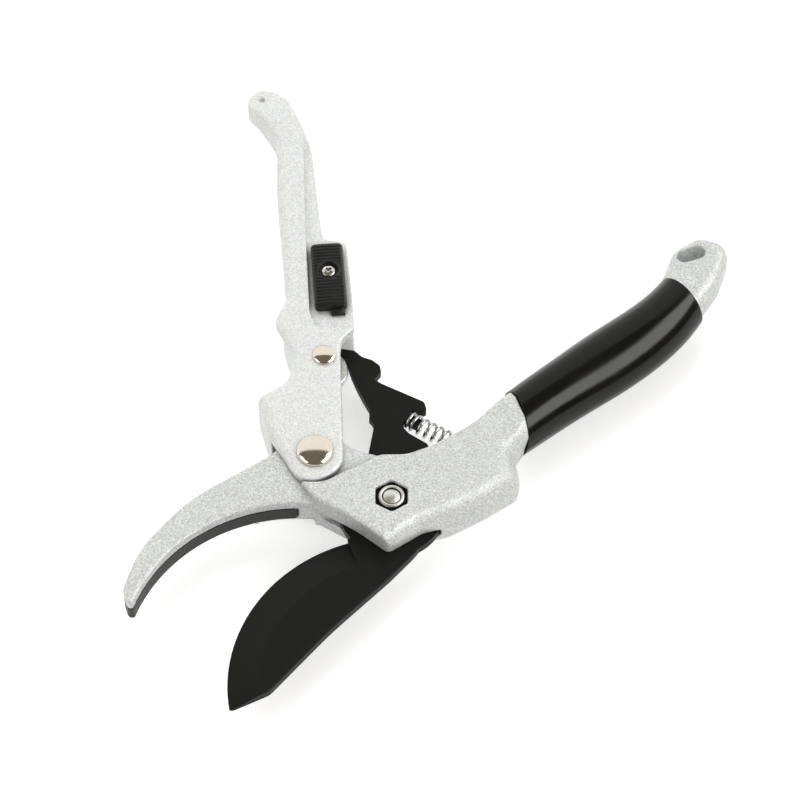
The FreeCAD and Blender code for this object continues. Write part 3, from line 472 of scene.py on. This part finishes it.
class PrunerColours(bpy.types.PropertyGroup):
    """The colours of the pruner's finishes."""
    body_silver: bpy.props.FloatVectorProperty(
        name="Body silver", description="Paint of the body casting", subtype="COLOR", size=3,
        default=(0.74, 0.76, 0.74), min=0.0, max=1.0)
    lever_silver: bpy.props.FloatVectorProperty(
        name="Lever silver", description="Paint of the left handle", subtype="COLOR", size=3,
        default=(0.82, 0.84, 0.83), min=0.0, max=1.0)
    blade_black: bpy.props.FloatVectorProperty(
        name="Blade black", description="Coating of the blade", subtype="COLOR", size=3,
        default=(0.008, 0.0085, 0.006), min=0.0, max=1.0)
    sleeve_black: bpy.props.FloatVectorProperty(
        name="Sleeve black", description="Vinyl of the handle sleeve", subtype="COLOR", size=3,
        default=(0.006, 0.006, 0.005), min=0.0, max=1.0)
    plastic_black: bpy.props.FloatVectorProperty(
        name="Plastic black", description="Insert and thumb slider", subtype="COLOR", size=3,
        default=(0.016, 0.016, 0.013), min=0.0, max=1.0)
    rivet_nickel: bpy.props.FloatVectorProperty(
        name="Rivet nickel", description="Warm plating of the rivets", subtype="COLOR", size=3,
        default=(0.86, 0.78, 0.68), min=0.0, max=1.0)
    steel: bpy.props.FloatVectorProperty(
        name="Steel", description="Bolt, nut, roller and springs", subtype="COLOR", size=3,
        default=(0.72, 0.71, 0.67), min=0.0, max=1.0)


class PrunerSizes(bpy.types.PropertyGroup):
    """The sizes of the finishes and of the stage."""
    flake: bpy.props.FloatProperty(
        name="Paint flake", description="Size of a flake in the silver paint, in millimetres",
        default=0.34, min=0.05)
    casting_grid: bpy.props.FloatProperty(
        name="Casting grid",
        description="Width of the grid that softens the castings, in millimetres",
        default=0.36, min=0.2)
    casting_softness: bpy.props.IntProperty(
        name="Casting softness", description="How often the castings are smoothed",
        default=4, min=0)
    shoulder: bpy.props.FloatProperty(
        name="Shoulder", description="Radius of the plate's rounded front edge, in millimetres",
        default=7.0, min=0.0)
    camera_lens: bpy.props.FloatProperty(
        name="Lens", description="Focal length of the camera, in millimetres",
        default=135.0, min=10.0, unit="CAMERA")
    floor_size: bpy.props.FloatProperty(
        name="Floor", description="Width of the floor", default=6.0, min=1.0, unit="LENGTH")


def colours():
    return bpy.context.scene.pruner_colours


def sizes():
    return bpy.context.scene.pruner_sizes


# Pieces

class PRUNER_OT_castings(bpy.types.Operator):
    """Paint the body casting and the left handle"""
    bl_idname = "pruner.castings"
    bl_label = "Castings"

    def execute(self, context):
        flake = sizes().flake
        body_paint = silver_paint("body paint", colours().body_silver, flake, 0.42)
        # The lever's painted shade also falls from the pieces beside it, such as the slider.
        lever_paint = silver_paint("lever paint", colours().lever_silver, flake, 0.26, False)
        cast_copy("body_casting", "body_cast", "body", body_paint, rounded_shoulder,
                  ("insert_pin_inner", "insert_pin_outer"))
        cast_copy("lever_casting", "lever_cast", "lever", lever_paint)
        return {"FINISHED"}


def make_pin(node, material):
    """A straight pin with chamfered ends, sunk a little into the painted faces."""
    low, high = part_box(node)
    bottom = low.z / MM + PIN_SUNK
    top = high.z / MM - PIN_SUNK
    slim = PIN_RADIUS - PIN_CHAMFER
    profile = in_metres([
        (0.0, bottom), (slim, bottom), (PIN_RADIUS, bottom + PIN_CHAMFER),
        (PIN_RADIUS, top - PIN_CHAMFER), (slim, top), (0.0, top)])
    vertices, faces = turned_mesh(middle_of(node), profile, PIN_AROUND)
    piece = new_piece(node + "_turned", vertices, faces, "body", material)
    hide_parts(node)


class PRUNER_OT_insert(bpy.types.Operator):
    """Finish the jaw's insert and its pins"""
    bl_idname = "pruner.insert"
    bl_label = "Insert"

    def execute(self, context):
        dress("hook_insert", matt_plastic("insert plastic", colours().plastic_black, 0.5))
        steel = plain_steel("pin steel", colours().steel, 0.35)
        make_pin("insert_pin_inner", steel)
        make_pin("insert_pin_outer", steel)
        return {"FINISHED"}


class PRUNER_OT_sleeve(bpy.types.Operator):
    """Finish the sleeve of the right handle"""
    bl_idname = "pruner.sleeve"
    bl_label = "Sleeve"

    def execute(self, context):
        dress("handle_sleeve", gloss_vinyl("sleeve vinyl", colours().sleeve_black, 0.16))
        return {"FINISHED"}


class PRUNER_OT_blade(bpy.types.Operator):
    """Coat the blade"""
    bl_idname = "pruner.blade"
    bl_label = "Blade"

    def execute(self, context):
        dress("blade", black_coating("blade coating", colours().blade_black, 0.42, 0.13))
        return {"FINISHED"}


# Where painted shade darkens the bolt's side inside the nut's collar, in millimetres: from the bolt's
# middle out, and from the floor up, each from where the dark begins to where it is full
GAP_SHADE_BESIDE = (2.58, 2.68)
GAP_SHADE_ABOVE = (10.0, 11.0)


def bolt_finish(name, colour, gap_shade_colour):
    """Bright zinc on the bolt, with a dark ring of painted shade beside its domed end."""
    material, tree = new_material(name)
    centred = vector_maths(tree, "SUBTRACT", on_object(tree), (pivot[0], pivot[1], 0.0))
    away = vector_maths(
        tree, "LENGTH", vector_maths(tree, "MULTIPLY", centred, (1.0, 1.0, 0.0)))
    high = height_of(tree, on_object(tree))
    beside = spread(tree, away, 0.0, 1.0, *(reach * MM for reach in GAP_SHADE_BESIDE))
    above = spread(tree, high, 0.0, 1.0, *(reach * MM for reach in GAP_SHADE_ABOVE))
    dark = maths(tree, "MULTIPLY", beside, above)
    cloud = noise(tree, 500.0, 4.0)
    bright = tinted(tree, cloud, scaled(colour, 0.95), scaled(colour, 1.2))
    finish_material(tree, {
        "Base Color": mixed(tree, dark, bright, (*gap_shade_colour, 1.0)),
        "Metallic": spread(tree, dark, 1.0, 0.0),
        "Roughness": varied(tree, cloud, 0.3, 0.42),
        "Normal": bumped(tree, noise(tree, 900.0), 0.08, 0.00005)})
    return material


# Profile of the locknut's collar, in millimetres: radius, and height from the nut's top
NUT_LIP = (
    (3.4, -0.36), (3.14, -0.34), (3.1, -0.18), (3.16, -0.05), (3.3, 0.03),
    (3.6, 0.06), (3.85, 0.0), (4.05, -0.16), (4.14, -0.4), (4.14, -0.78))


def make_nut_lip(material):
    """The bright collar of the locknut, rolled in over its ring."""
    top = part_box("pivot_nut")[1].z / MM
    profile = in_metres([(radius, top + height) for radius, height in NUT_LIP])
    vertices, faces = turned_mesh(middle_of("pivot_nut"), profile)
    last = len(vertices) - AROUND
    for step in range(AROUND):
        after = (step + 1) % AROUND
        faces.append((last + step, last + after, after, step))
    outward = [face[::-1] for face in faces]
    new_piece("nut_lip", vertices, outward, "body", material)


class PRUNER_OT_pivot(bpy.types.Operator):
    """Finish the pivot's bolt, bush, locknut and ring"""
    bl_idname = "pruner.pivot"
    bl_label = "Pivot"

    def execute(self, context):
        steel = colours().steel
        plastic = colours().plastic_black
        # The plastic's black is the colour of the painted shade round the bolt's end.
        dress("pivot_bolt", bolt_finish("bolt zinc", steel, plastic))
        nut_colour = scaled(colours().blade_black, 0.6)
        dress("pivot_nut", black_coating("nut black", nut_colour, 0.35, 0.05))
        make_nut_lip(bright_plate("lip zinc", scaled(steel, 1.15), 0.34, 0.05))
        dress("nut_ring", matt_plastic("nylon", plastic, 0.5))
        dress("pivot_bush", plain_steel("bush steel", steel, 0.3))
        return {"FINISHED"}


# The rivets, in millimetres: radii of head, tail and shank, heights of head and tail, and the
# upright rim of both
RIVETS = {
    "main_rivet": {
        "head": 5.85, "head_height": 2.3, "tail": 5.0, "tail_height": 1.4,
        "shank": 3.5, "rim": 0.5},
    "roller_rivet": {
        "head": 3.75, "head_height": 1.5, "tail": 3.6, "tail_height": 1.5,
        "shank": 2.5, "rim": 0.4},
}


def make_rivet(node, material, head, head_height, tail, tail_height, shank, rim):
    """A rivet turned in one piece: its tail, its shank and its domed head."""
    low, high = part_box(node)
    tail_base = low.z / MM + tail_height
    head_base = high.z / MM - head_height
    upturned = head_profile(tail, tail_base, rim, tail_height)
    profile = [(radius, 2 * tail_base - height) for radius, height in reversed(upturned)]
    profile += [(shank, tail_base), (shank, head_base)]
    profile += head_profile(head, head_base, rim, head_height)
    vertices, faces = turned_mesh(middle_of(node), in_metres(profile))
    piece = new_piece(node + "_turned", vertices, faces, "lever", material)
    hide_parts(node)


class PRUNER_OT_drive(bpy.types.Operator):
    """Finish the rivets, the roller and its spacers"""
    bl_idname = "pruner.drive"
    bl_label = "Rivets and roller"

    def execute(self, context):
        nickel = bright_plate("rivet nickel", colours().rivet_nickel, 0.1, 0.08)
        steel = plain_steel("drive steel", colours().steel, 0.3)
        for node, measures in RIVETS.items():
            make_rivet(node, nickel, **measures)
        for node in (
                "main_rivet_washer", "drive_roller", "roller_spacer_near", "roller_spacer_far"):
            dress(node, steel)
        return {"FINISHED"}


# The thumb slider, in millimetres: its middle in the drawing, the turn of its length in degrees,
# its sizes, how much its crown falls across and along, and its rounded upper edge
SLIDER_MIDDLE = (30.7, 82.9)
SLIDER_TURN = 60.5
SLIDER_LENGTH = 26.0
SLIDER_WIDTH = 10.6
SLIDER_HEIGHT = 3.4
SLIDER_CORNER = 1.6
SLIDER_BASE = 14.74
SLIDER_FALL_ACROSS = 0.25
SLIDER_FALL_ALONG = 0.3
SLIDER_EDGE_WIDTH = 0.9
SLIDER_EDGE_DROP = 0.75
SLIDER_SHARP = 50.0
# Its ribs, and how gently they end at its edge and round the screw's well
RIB_PITCH = 1.3
RIB_DEPTH = 0.3
RIB_FADE = 0.5
RIB_GAP = 0.6
# The well for the screw: radius, depth below the top, and where its sloping wall begins and how wide
# it is
WELL_RADIUS = 3.0
WELL_DEPTH = 1.3
WELL_EDGE = 0.2
WELL_WALL = 0.35
# The tab at its end: from and to along and across the slider, its height and its edges' slope
TAB_ALONG = (-15.2, -12.6)
TAB_ACROSS = (-4.4, 0.1)
TAB_HEIGHT = 1.3
TAB_SLOPE = 0.25
# Widths of the grid of its top
GRID_ALONG = 0.1
GRID_ACROSS = 0.13


def slider_place(along, across, height):
    turn = math.radians(SLIDER_TURN)
    x = SLIDER_MIDDLE[0] + along * math.cos(turn) - across * math.sin(turn)
    y = SLIDER_MIDDLE[1] + along * math.sin(turn) + across * math.cos(turn)
    return tuple(place(x, y, SLIDER_BASE + height))


def slider_top(along, across, inside, well):
    """Height of the slider's top: crowned, ribbed, with a round well for the screw."""
    height = SLIDER_HEIGHT - SLIDER_FALL_ACROSS * (2 * across / SLIDER_WIDTH) ** 2
    height -= SLIDER_FALL_ALONG * abs(2 * along / SLIDER_LENGTH) ** 3
    away = math.hypot(along - well[0], across - well[1])
    rib = clamped(inside / RIB_FADE) * clamped((away - WELL_RADIUS - RIB_GAP) / RIB_FADE)
    wave = 0.5 - 0.5 * math.cos(2 * math.pi * along / RIB_PITCH)
    height -= RIB_DEPTH * rib * wave ** 2
    height -= SLIDER_EDGE_DROP * (1.0 - clamped(inside / SLIDER_EDGE_WIDTH)) ** 2
    sunk = clamped((WELL_RADIUS + WELL_EDGE - away) / WELL_WALL)
    return height + sunk * (SLIDER_HEIGHT - WELL_DEPTH - height)


def screw_on_slider():
    """Where the screw stands on the slider, along and across it."""
    screw = middle_of("lock_screw")
    x = (screw.x - pivot[0]) / MM - SLIDER_MIDDLE[0]
    y = (screw.y - pivot[1]) / MM - SLIDER_MIDDLE[1]
    turn = math.radians(SLIDER_TURN)
    return x * math.cos(turn) + y * math.sin(turn), -x * math.sin(turn) + y * math.cos(turn)


def slider_block():
    """The slider's block: a fine grid for its top, and walls down to its seat."""
    well = screw_on_slider()
    rows = int(SLIDER_WIDTH / GRID_ACROSS)
    columns = int(SLIDER_LENGTH / GRID_ALONG)
    vertices = []
    for row in range(rows + 1):
        across = SLIDER_WIDTH * (row / rows - 0.5)
        beyond = max(0.0, abs(across) - SLIDER_WIDTH / 2 + SLIDER_CORNER)
        half = SLIDER_LENGTH / 2 - SLIDER_CORNER + math.sqrt(SLIDER_CORNER ** 2 - beyond ** 2)
        for column in range(columns + 1):
            along = half * (2 * column / columns - 1)
            inside = min(half - abs(along), SLIDER_WIDTH / 2 - abs(across))
            vertices.append(slider_place(along, across, slider_top(along, across, inside, well)))
    wide = columns + 1
    faces = []
    for row in range(rows):
        for column in range(columns):
            near = row * wide + column
            far = near + wide
            faces.append((near, near + 1, far + 1, far))
    rim = list(range(wide))
    rim += [row * wide + columns for row in range(1, rows + 1)]
    rim += [rows * wide + column for column in range(columns - 1, -1, -1)]
    rim += [row * wide for row in range(rows - 1, 0, -1)]
    seat = slider_place(0.0, 0.0, 0.0)[2]
    foot = []
    for index in rim:
        foot.append(len(vertices))
        vertices.append((*vertices[index][:2], seat))
    for step in range(len(rim)):
        after = (step + 1) % len(rim)
        faces.append((rim[after], rim[step], foot[step], foot[after]))
    faces.append(tuple(reversed(foot)))
    return vertices, faces


def add_tab(vertices, faces):
    """The tab at the slider's end: a low block with sloping edges, open to the slider's side."""
    left, right = TAB_ALONG
    near, far = TAB_ACROSS
    start = len(vertices)
    for level, inset in ((0.0, 0.0), (TAB_HEIGHT - TAB_SLOPE, 0.0), (TAB_HEIGHT, TAB_SLOPE)):
        for along, across in (
                (left + inset, near + inset), (right, near + inset),
                (right, far - inset), (left + inset, far - inset)):
            vertices.append(slider_place(along, across, level))
    for below in (start, start + 4):
        above = below + 4
        for side in range(4):
            after = (side + 1) % 4
            faces.append((below + side, below + after, above + after, above + side))
    faces.append((start + 3, start + 2, start + 1, start))
    faces.append((start + 8, start + 9, start + 10, start + 11))


def make_slider(material):
    """The ribbed thumb slider in one piece with the tab at its end."""
    vertices, faces = slider_block()
    add_tab(vertices, faces)
    piece = new_piece(
        "slider_ribbed", vertices, faces, "lock", material, SLIDER_SHARP)
    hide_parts("lock_slider")


# The screw, in millimetres: radius, height and upright edge of its head, how far that stands above
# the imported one, the steps of its dome and the flat in its middle, and the shank's radius
HEAD_RADIUS = 2.25
HEAD_HEIGHT = 0.9
HEAD_EDGE = 0.35
HEAD_LIFT = 0.7
HEAD_STEPS = 26
HEAD_FLAT = 0.02
SCREW_SHANK = 1.2
# Its cross recess: turn in degrees, reach, half the width of an arm, depth, and its sloping walls
CROSS_TURN = 11.0
CROSS_REACH = 1.5
CROSS_HALF_WIDTH = 0.4
CROSS_DEPTH = 0.85
CROSS_WALL = 0.12
CROSS_END = 0.6


def make_screw(material):
    """The cross-head screw: shank, low domed head and pressed cross."""
    low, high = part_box("lock_screw")
    top = high.z / MM + HEAD_LIFT
    base = top - HEAD_HEIGHT
    shoulder = base + HEAD_EDGE
    profile = [(0.0, low.z / MM), (SCREW_SHANK, low.z / MM), (SCREW_SHANK, base),
               (HEAD_RADIUS, base), (HEAD_RADIUS, shoulder)]
    for step in range(1, HEAD_STEPS):
        share = 1 - step / HEAD_STEPS
        dome = shoulder + (HEAD_HEIGHT - HEAD_EDGE) * math.sqrt(1 - share ** 2)
        profile.append((HEAD_RADIUS * share, dome))
    profile.append((HEAD_FLAT, top))
    turn = math.radians(CROSS_TURN)

    def pressed(along, across, height):
        if height <= shoulder * MM:
            return height
        x = abs(along * math.cos(turn) + across * math.sin(turn)) / MM
        y = abs(across * math.cos(turn) - along * math.sin(turn)) / MM
        wall = clamped((CROSS_HALF_WIDTH - min(x, y)) / CROSS_WALL + 0.5)
        end = clamped((CROSS_REACH - max(x, y)) / CROSS_END)
        return height - CROSS_DEPTH * wall * end * MM

    vertices, faces = turned_mesh(
        middle_of("lock_screw"), in_metres(profile), SCREW_AROUND, pressed)
    faces.append(tuple(range(len(vertices) - SCREW_AROUND, len(vertices))))
    piece = new_piece("screw_cross_head", vertices, faces, "lock", material)
    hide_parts("lock_screw")


class PRUNER_OT_lock(bpy.types.Operator):
    """Finish the thumb slider, its screw and its plate"""
    bl_idname = "pruner.lock"
    bl_label = "Lock"

    def execute(self, context):
        plastic = scaled(colours().plastic_black, 0.55)
        make_slider(matt_plastic("slider plastic", plastic, 0.4))
        # The screw's zinc carries painted shade in its cross.
        make_screw(bright_plate("screw zinc", colours().steel, 0.16, 0.1, shade_reach=1.2))
        steel = plain_steel("lock steel", colours().steel, 0.35)
        for node in ("lock_plate", "lock_detent_spring"):
            dress(node, steel)
        return {"FINISHED"}


def make_spring_coil(material):
    """The opening spring's wire, copied from its solid to ride on the body."""
    wire = frame["nodes"]["opening_spring"].data.copy()
    piece = bpy.data.objects.new("spring_coil", wire)
    bpy.context.scene.collection.objects.link(piece)
    wire.materials.clear()
    wire.materials.append(material)
    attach(piece, "body")
    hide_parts("opening_spring")
    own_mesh(piece)


class PRUNER_OT_spring(bpy.types.Operator):
    """Finish the opening spring"""
    bl_idname = "pruner.spring"
    bl_label = "Spring"

    def execute(self, context):
        wire = scaled(colours().steel, 0.7)
        # The wire carries painted shade where its coils crowd together.
        make_spring_coil(bright_plate("spring wire", wire, 0.14, 0.12, shade_reach=2.0))
        return {"FINISHED"}


# Stage

class PRUNER_OT_stage(bpy.types.Operator):
    """Set the floor, the lamps, the world and the camera"""
    bl_idname = "pruner.stage"
    bl_label = "Stage"

    def execute(self, context):
        scene = context.scene
        scene.view_settings.view_transform = "Standard"
        make_floor()
        make_world(scene)
        make_lamps(scene)
        make_camera(scene)
        return {"FINISHED"}


# The paper's darker and lighter tint, and how brightly it shows beyond what the lamps give it
PAPER_DARK = (0.86, 0.865, 0.88)
PAPER_LIGHT = (0.9, 0.9, 0.905)
PAPER_GLOW = 0.5
WHITE = (1.0, 1.0, 1.0, 1.0)


def make_floor():
    """A wide pale floor that looks white and keeps the pruner's soft shadow."""
    half = sizes().floor_size / 2
    mesh = bpy.data.meshes.new("floor")
    corners = [(-half, -half, 0.0), (half, -half, 0.0), (half, half, 0.0), (-half, half, 0.0)]
    mesh.from_pydata(corners, [], [(0, 1, 2, 3)])
    floor = bpy.data.objects.new("floor", mesh)
    bpy.context.scene.collection.objects.link(floor)
    material, tree = new_material("white paper")
    rays = add_node(tree, "ShaderNodeLightPath").outputs
    seen = maths(tree, "MAXIMUM", rays["Is Camera Ray"], rays["Is Glossy Ray"])
    seen = maths(tree, "MAXIMUM", seen, rays["Is Transmission Ray"])
    grain = tinted(tree, noise(tree, 30.0), PAPER_DARK, PAPER_LIGHT)
    diffuse = add_node(tree, "ShaderNodeBsdfDiffuse", {"Color": grain})
    glow = add_node(tree, "ShaderNodeEmission", {
        "Color": WHITE, "Strength": spread(tree, seen, 0.0, PAPER_GLOW)})
    both = add_node(tree, "ShaderNodeAddShader", {0: diffuse.outputs[0], 1: glow.outputs[0]})
    add_node(tree, "ShaderNodeOutputMaterial", {"Surface": both.outputs[0]})
    mesh.materials.append(material)


# Softboxes round the pruner, in degrees: middle of its width from +X, half its width, lower edge
# and upper edge above the floor, softness of its edges; then its strength as a light and in
# reflections
SOFTBOXES = (
    (-44.0, 34.0, 25.0, 57.0, 3.5, 0.1, 7.0),
    (166.0, 26.0, 22.0, 50.0, 4.0, 0.6, 2.4),
)
# White sweep behind the pruner: the side of a slanting plane on which it fills the view, half the
# width of its soft edge, and its strength
SWEEP_FACING = (0.493, 0.731, -0.469)
SWEEP_EDGE = 0.04
SWEEP_STRENGTH = 0.85
# The dim room: its strength as a light and in reflections, its colour, and the tints of what is lit
ROOM_STRENGTH = 0.1
ROOM_MIRRORED = 0.17
ROOM_COLOUR = (1.0, 0.86, 0.62)
LIT_COOL = (0.95, 0.955, 0.95)
LIT_WARM = (1.0, 0.995, 0.98)
LIT_CLOUDS = 1.4


def make_world(scene):
    """Soft light from all round: a dim room with bright softboxes in it; white for the camera."""
    world = bpy.data.worlds.new("studio")
    world.use_nodes = True
    tree = world.node_tree
    tree.nodes.clear()
    rays = add_node(tree, "ShaderNodeLightPath").outputs
    direction = add_node(tree, "ShaderNodeTexCoord").outputs["Generated"]
    level = vector_maths(tree, "MULTIPLY", direction, (1.0, 1.0, 0.0))
    level = vector_maths(tree, "NORMALIZE", level)
    height = height_of(tree, direction)
    light = ROOM_STRENGTH
    mirrored = ROOM_MIRRORED
    for *box, as_light, as_mirrored in SOFTBOXES:
        shape = softbox_shape(tree, level, height, *box)
        light = brightened(tree, light, shape, as_light)
        mirrored = brightened(tree, mirrored, shape, as_mirrored)
    sweep = vector_maths(tree, "DOT_PRODUCT", direction, SWEEP_FACING)
    wall = edge(tree, sweep, -SWEEP_EDGE, SWEEP_EDGE)
    light = brightened(tree, light, wall, SWEEP_STRENGTH)
    mirrored = brightened(tree, mirrored, wall, SWEEP_STRENGTH)
    strength = add_node(tree, "ShaderNodeMix", {
        0: rays["Is Glossy Ray"], 2: light, 3: mirrored}).outputs[0]
    shade = tinted(tree, slow_noise(tree, direction, LIT_CLOUDS), LIT_COOL, LIT_WARM)
    shade = mixed(tree, strength, (*ROOM_COLOUR, 1.0), shade)
    lit = add_node(tree, "ShaderNodeBackground", {"Color": shade, "Strength": strength})
    white = add_node(tree, "ShaderNodeBackground", {"Color": WHITE, "Strength": 1.0})
    chosen = add_node(tree, "ShaderNodeMixShader", {
        0: rays["Is Camera Ray"], 1: lit.outputs[0], 2: white.outputs[0]})
    add_node(tree, "ShaderNodeOutputWorld", {"Surface": chosen.outputs[0]})
    scene.world = world


def softbox_shape(tree, level, height, middle, half_width, low, high, softness):
    """1 inside a softbox and 0 outside, for a direction given by its level part and its height."""
    def cosine(degrees):
        return math.cos(math.radians(degrees))

    def sine(degrees):
        return math.sin(math.radians(degrees))

    towards = (cosine(middle), sine(middle), 0.0)
    along = vector_maths(tree, "DOT_PRODUCT", level, towards)
    wide = edge(tree, along, cosine(half_width + softness), cosine(half_width - softness))
    over = edge(tree, height, sine(low - softness), sine(low + softness))
    under = edge(tree, height, sine(high + softness), sine(high - softness))
    return maths(tree, "MULTIPLY", wide, maths(tree, "MULTIPLY", over, under))


def edge(tree, value, start, full):
    """A soft step from 0 at start to 1 at full."""
    made = add_node(tree, "ShaderNodeMapRange", {
        "Value": value, "From Min": start, "From Max": full}, interpolation_type="SMOOTHSTEP")
    return made.outputs["Result"]


def brightened(tree, base, factor, amount):
    """Adds a share of a factor to a brightness."""
    return maths(tree, "MULTIPLY_ADD", factor, amount, base)


# Large soft lamps in metres and watts: name, place from the pruner's middle, width, height, power
LAMPS = (
    ("back softbox", (0.3, 1.0, 1.4), 1.4, 1.2, 12.5),
    ("left softbox", (-1.0, 0.2, 1.1), 1.2, 1.2, 4.5),
    ("front softbox", (0.05, -1.1, 0.9), 1.4, 0.9, 10.0),
)


def make_lamps(scene):
    """Large soft lamps that look at the pruner and aren't mirrored in it."""
    for name, spot, width, height, power in LAMPS:
        light = bpy.data.lights.new(name, "AREA")
        light.shape = "RECTANGLE"
        light.size = width
        light.size_y = height
        light.energy = power
        lamp = bpy.data.objects.new(name, light)
        lamp.location = Vector(spot)
        lamp.visible_glossy = False
        lamp.rotation_euler = (-Vector(spot)).to_track_quat("-Z", "Y").to_euler()
        scene.collection.objects.link(lamp)


# The camera's place in the drawing, and its tilt from straight down and its turn in degrees
CAMERA_PLACE = (-282.8, -424.0, 810.6)
CAMERA_TILT = 34.5
CAMERA_TURN = -34.0


def make_camera(scene):
    """The camera at the photograph's angle."""
    data = bpy.data.cameras.new("camera")
    data.lens = sizes().camera_lens
    data.sensor_width = 36.0
    data.clip_start = 0.05
    data.clip_end = 20.0
    camera = bpy.data.objects.new("camera", data)
    camera.location = place(*CAMERA_PLACE)
    camera.rotation_euler = (math.radians(CAMERA_TILT), 0.0, math.radians(CAMERA_TURN))
    scene.collection.objects.link(camera)
    scene.camera = camera


class PRUNER_PT_panel(bpy.types.Panel):
    """Lists the pruner's settings and pieces"""
    bl_idname = "PRUNER_PT_panel"
    bl_label = "Pruner"
    bl_space_type = "VIEW_3D"
    bl_region_type = "UI"
    bl_category = "Pruner"

    def draw(self, context):
        layout = self.layout
        for group in (context.scene.pruner_colours, context.scene.pruner_sizes):
            column = layout.column()
            for name in group.bl_rna.properties.keys():
                if name not in ("rna_type", "name"):
                    column.prop(group, name)
        for piece in PIECES:
            layout.operator(piece.bl_idname)


PIECES = (
    PRUNER_OT_castings, PRUNER_OT_insert, PRUNER_OT_sleeve, PRUNER_OT_blade, PRUNER_OT_pivot,
    PRUNER_OT_drive, PRUNER_OT_lock, PRUNER_OT_spring, PRUNER_OT_stage)
GROUPS = (PrunerColours, PrunerSizes)


def register():
    for part in (*GROUPS, *PIECES, PRUNER_PT_panel):
        bpy.utils.register_class(part)
    bpy.types.Scene.pruner_colours = bpy.props.PointerProperty(type=PrunerColours)
    bpy.types.Scene.pruner_sizes = bpy.props.PointerProperty(type=PrunerSizes)


def unregister():
    del bpy.types.Scene.pruner_colours
    del bpy.types.Scene.pruner_sizes
    for part in reversed((*GROUPS, *PIECES, PRUNER_PT_panel)):
        bpy.utils.unregister_class(part)


def main():
    """Register the add-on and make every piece."""
    register()
    bpy.ops.pruner.castings()
    bpy.ops.pruner.insert()
    bpy.ops.pruner.sleeve()
    bpy.ops.pruner.blade()
    bpy.ops.pruner.pivot()
    bpy.ops.pruner.drive()
    bpy.ops.pruner.lock()
    bpy.ops.pruner.spring()
    bpy.ops.pruner.stage()


if __name__ == "__main__":
    main()
